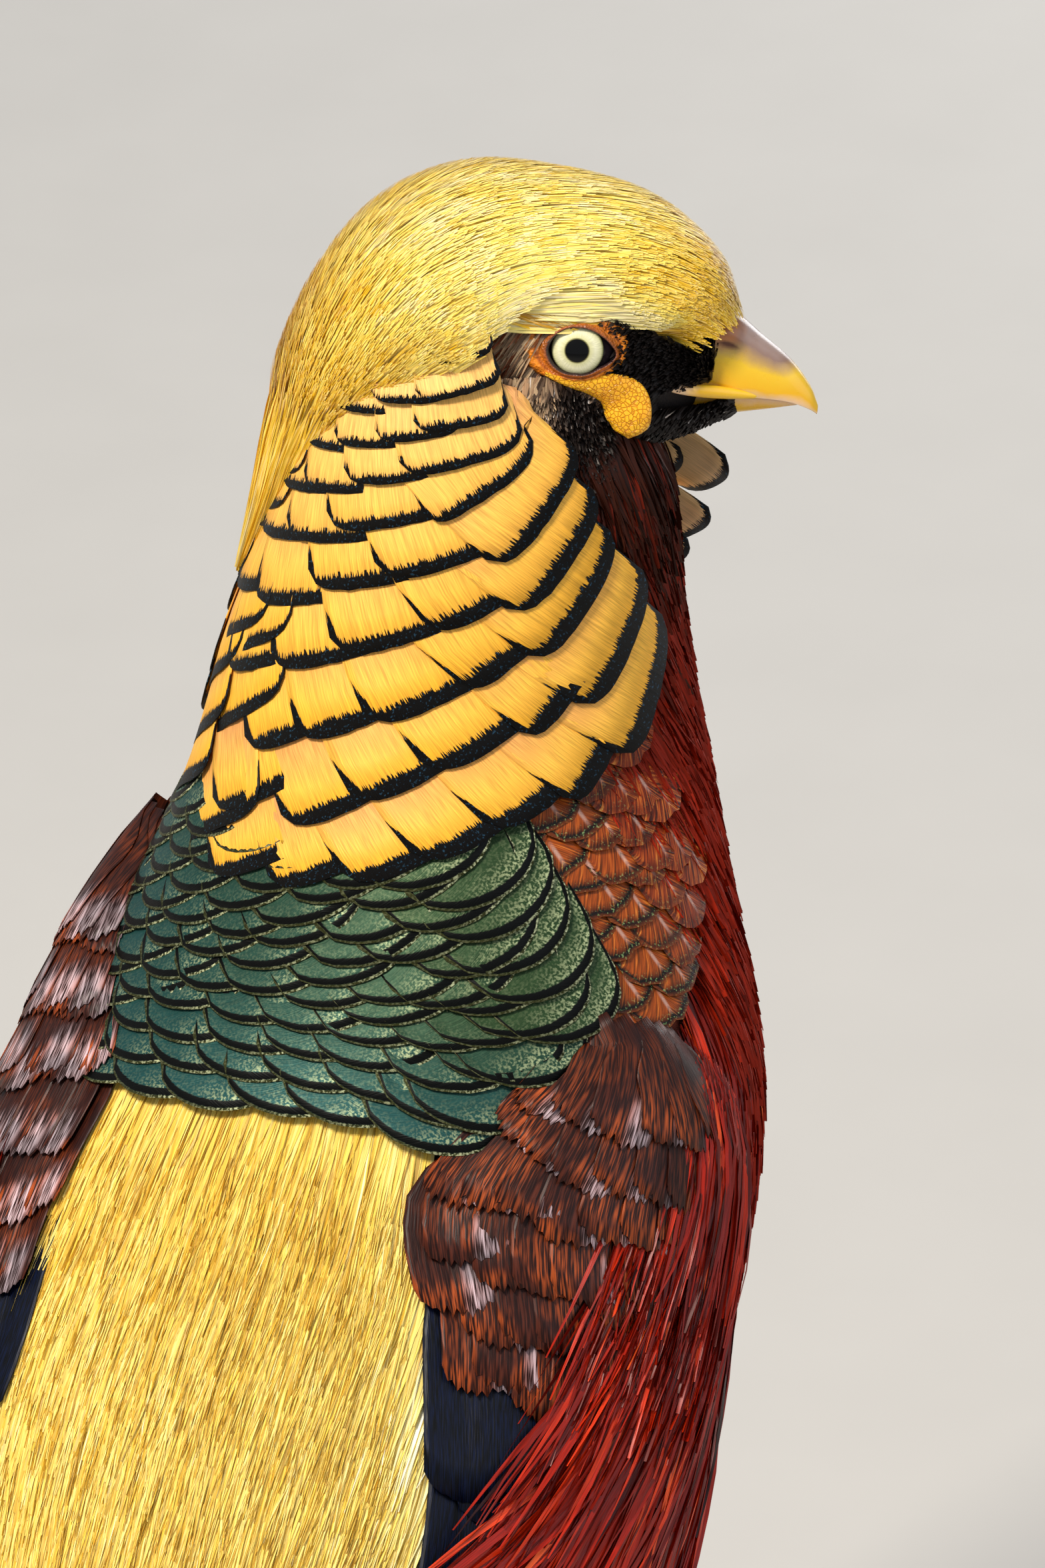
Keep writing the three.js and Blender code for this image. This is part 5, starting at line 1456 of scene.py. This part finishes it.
def legs():
    down = plumage_material("thigh_feather", paint_thigh, 0.5, 0.55)
    scales = make_material("scaled_leg_skin", draw_leg)
    # Dark horn, brown at the root and nearly black at the point
    horn = horn_material("claw_keratin", (0, "#6A5440"), (0.4, "#4A3A2C"), (1, "#2E241C"))
    for side, word in SIDES:
        y = side * LEG_SPREAD
        thigh(side, word, down)
        x, z, r = evenly(SHANK, 190)
        limb("scales_of_shank_" + word, scales, "shank_" + word, "leg_scales",
             tube(np.stack([x, 0 * x + y, z], -1), r, (1, 0, 0), 3.3, 0.1, 0.85, 30))
        x, inward, z, r = evenly(SPUR, 20)
        limb("spur_" + word, horn, "shank_" + word, "leg_scales",
             tube(np.stack([x, y - side * inward, z], -1), r, UP))
        parts = []
        for index, (angle, length) in enumerate(TOES):
            way = np.array([math.cos(math.radians(angle)), math.sin(math.radians(angle)), 0])
            start = np.array([SOLE, y, 0.0])
            t = np.linspace(0, 1, 100)[:, None]
            pads = 1 + 0.07 * np.sin(t[:, 0] * length / 48 * 4 * 2 * np.pi)
            path = start + way * length * 0.81 * t + UP * (3.5 - 1.3 * t)
            parts.append(tube(path, (3.3 - 1.1 * t[:, 0]) * pads, UP, 2.3, 0.12, 0.92, 20))
            share, up, r = evenly(NAIL, 24)[..., None]
            path = start + way * (length * share) + UP * up
            limb("nail_%s_%d" % (word, index + 1), horn, "claw_%s_%d" % (word, index + 1), "claw_horn",
                 tube(path, r[:, 0], UP, flat=0.8, fade=12.0))
        limb("scales_of_foot_" + word, scales, "foot_" + word, "leg_scales", *parts)


# The skin under all of it

SKIN_DEPTH = 2.4  # the coat's depth over the body
HEAD_DEPTH, BILL_DEPTH = 1.2, 2.6  # over the head, and where it meets the bill
THIGH_DEPTH = 1.6
VOXEL = 1.7  # the remesh's grain


def skin_rings():
    """Rings of the forms that the skin is made of: body and neck, head, and both thighs."""
    turns = np.linspace(0, 360, 49)[:-1] - 180
    ring = lambda sheet, x, depth: sheet.at(np.stack([np.full(48, x), turns], -1), -depth)
    body = [ring(BODY, u, SKIN_DEPTH) for u in np.linspace(-0.2, 9.3, 70)]
    head = [ring(HEAD, x, HEAD_DEPTH + (BILL_DEPTH - HEAD_DEPTH) * smooth(18, 27, x))
            for x in np.linspace(-24, 27, 44)]
    thighs = [[ring(sheet, s, THIGH_DEPTH) for s in np.linspace(0.1, 5.2, 26)]
              for sheet in map(thigh_sheet, (-1, 1))]
    return [body, head, *thighs]


def closed_loft(rings):
    """Points and faces of a closed form over rings of equally many points."""
    rings = np.asarray(rings)
    count, size = rings.shape[:2]
    points = np.concatenate([rings.reshape(-1, 3), rings[[0, -1]].mean(axis=1)])
    first, last = np.arange(size), (count - 1) * size + np.arange(size)
    cap = lambda ring, tip, turn: np.stack([ring, np.roll(ring, turn), np.full(size, tip)], -1)
    return points, (*joined_grid(rings, 1), *cap(first, count * size, 1), *cap(last, count * size + 1, -1))


def coat_colour(u, turn, head):
    """The plumage's own colour over a place of the skin, with its markings."""
    turn = np.abs((turn + 180) % 360 - 180)
    colour = np.tile(linear("#9A3212"), (len(u), 1))
    rows = (u - cape_hem(-turn)) / CAPE_STEP
    on_face = (turn > straight(CAPE_FRONT, u)) & (u > 7.1) | (head[:, 0] > -5) & (head[:, 2] > -24)
    under_crest = (head[:, 2] > straight(BROW, head[:, 0])) & (head[:, 0] > -30) & (head[:, 2] > -10)
    for where, code in (
        ((turn > 58) & (u < 5.3), "#6E160A"),
        ((turn > 50) & (turn < 112) & (u > 5.15), "#7A2C10"),
        ((turn < 58) & (u < 5.2), "#2A1210"),
        ((turn < wing_top(u)) & (u < 5.2), "#D8AE48"),
        ((turn < 59) & (u > mantle_hem(turn)), "#22443A"),
        (rows > 0, "#E8A440"),
        ((rows > 0) & (rows % 1 < 0.2), "#10141C"),
        (on_face, "#1C1310"),
        (on_face & (head[:, 0] < 6) & (head[:, 2] > -10), "#4A3428"),
        (under_crest, "#C89A28"),
    ):
        colour[where] = linear(code)
    return colour


def draw_skin(add):
    """Skin under short down: matt and mottled, in the colours of the feathers over it."""
    noise = add("TexNoise", {"Scale": 900.0, "Detail": 3.0})
    own = add("Attribute", out="Color", attribute_name="coat")
    shade = add("MapRange", {0: noise, 1: 0.3, 2: 0.7, 3: 0.55, 4: 1.0})
    return {"Base Color": add("VectorMath", {0: own, "Scale": shade}, operation="SCALE"), "Roughness": 0.8,
            "Normal": add("Bump", {"Strength": 0.5, "Distance": 0.0006, "Height": noise})}


def skin():
    """One surface over all the flesh, remeshed as a whole so that no seam shows."""
    points, faces, start = [], [], 0
    for rings in skin_rings():
        p, loft = closed_loft(rings)
        points += [tuple(place) for place in p]
        faces += [tuple(int(i) + start for i in f) for f in loft]
        start += len(p)
    mesh = bpy.data.meshes.new("skin")
    mesh.from_pydata(points, [], faces)
    body = placed("skin", mesh)
    remesh = body.modifiers.new("one_skin", "REMESH")
    remesh.mode, remesh.voxel_size, remesh.use_smooth_shade = "VOXEL", VOXEL, True
    soften = body.modifiers.new("soften", "CORRECTIVE_SMOOTH")
    soften.iterations, soften.factor, soften.use_only_smooth = 4, 0.5, True
    made = bpy.data.meshes.new_from_object(body.evaluated_get(bpy.context.evaluated_depsgraph_get()))
    body.modifiers.clear()
    body.data = made
    co = np.empty(len(made.vertices) * 3, np.float32)
    made.vertices.foreach_get("co", co)
    co = co.reshape(-1, 3)
    made.vertices.foreach_set("co", flat(to_metres(co)))
    # Each point takes its colour from the nearest place of the body
    near = BODY.points[::2, ::2]
    places = KDTree(near[..., 0].size)
    for index, point in enumerate(near.reshape(-1, 3)):
        places.insert(point, index)
    places.balance()
    rows, cols = np.divmod([places.find(point)[1] for point in co], near.shape[1])
    u, turn = (BODY.low[k] + steps * 2 * BODY.step[k] for k, steps in enumerate((rows, cols)))
    coat = made.attributes.new("coat", "FLOAT_COLOR", "POINT")
    coat.data.foreach_set("color", flat(coat_colour(u, turn, in_head(co))))
    made.materials.clear()
    made.materials.append(make_material("down_covered_skin", draw_skin))
    settle(body, "torso", "neck", "head", "thigh_right", "thigh_left", slot="body_plumage")


def soft_parts():
    """The bare parts round each eye, with one material each for both sides."""
    makers = [(bare_skin, make_material("bare_eye_skin", draw_bare_skin)),
              (eyeball, make_material("glass_eye", draw_eye)),
              (wattle, make_material("wattle_flesh", draw_wattle))]
    for side, word in SIDES:
        for maker, material in makers:
            maker(side, word, material)


for build in (skin, cape, mantle, breast, rump, flank, belly, wings, tail, crest, soft_parts, bill, face,
              legs):
    build()
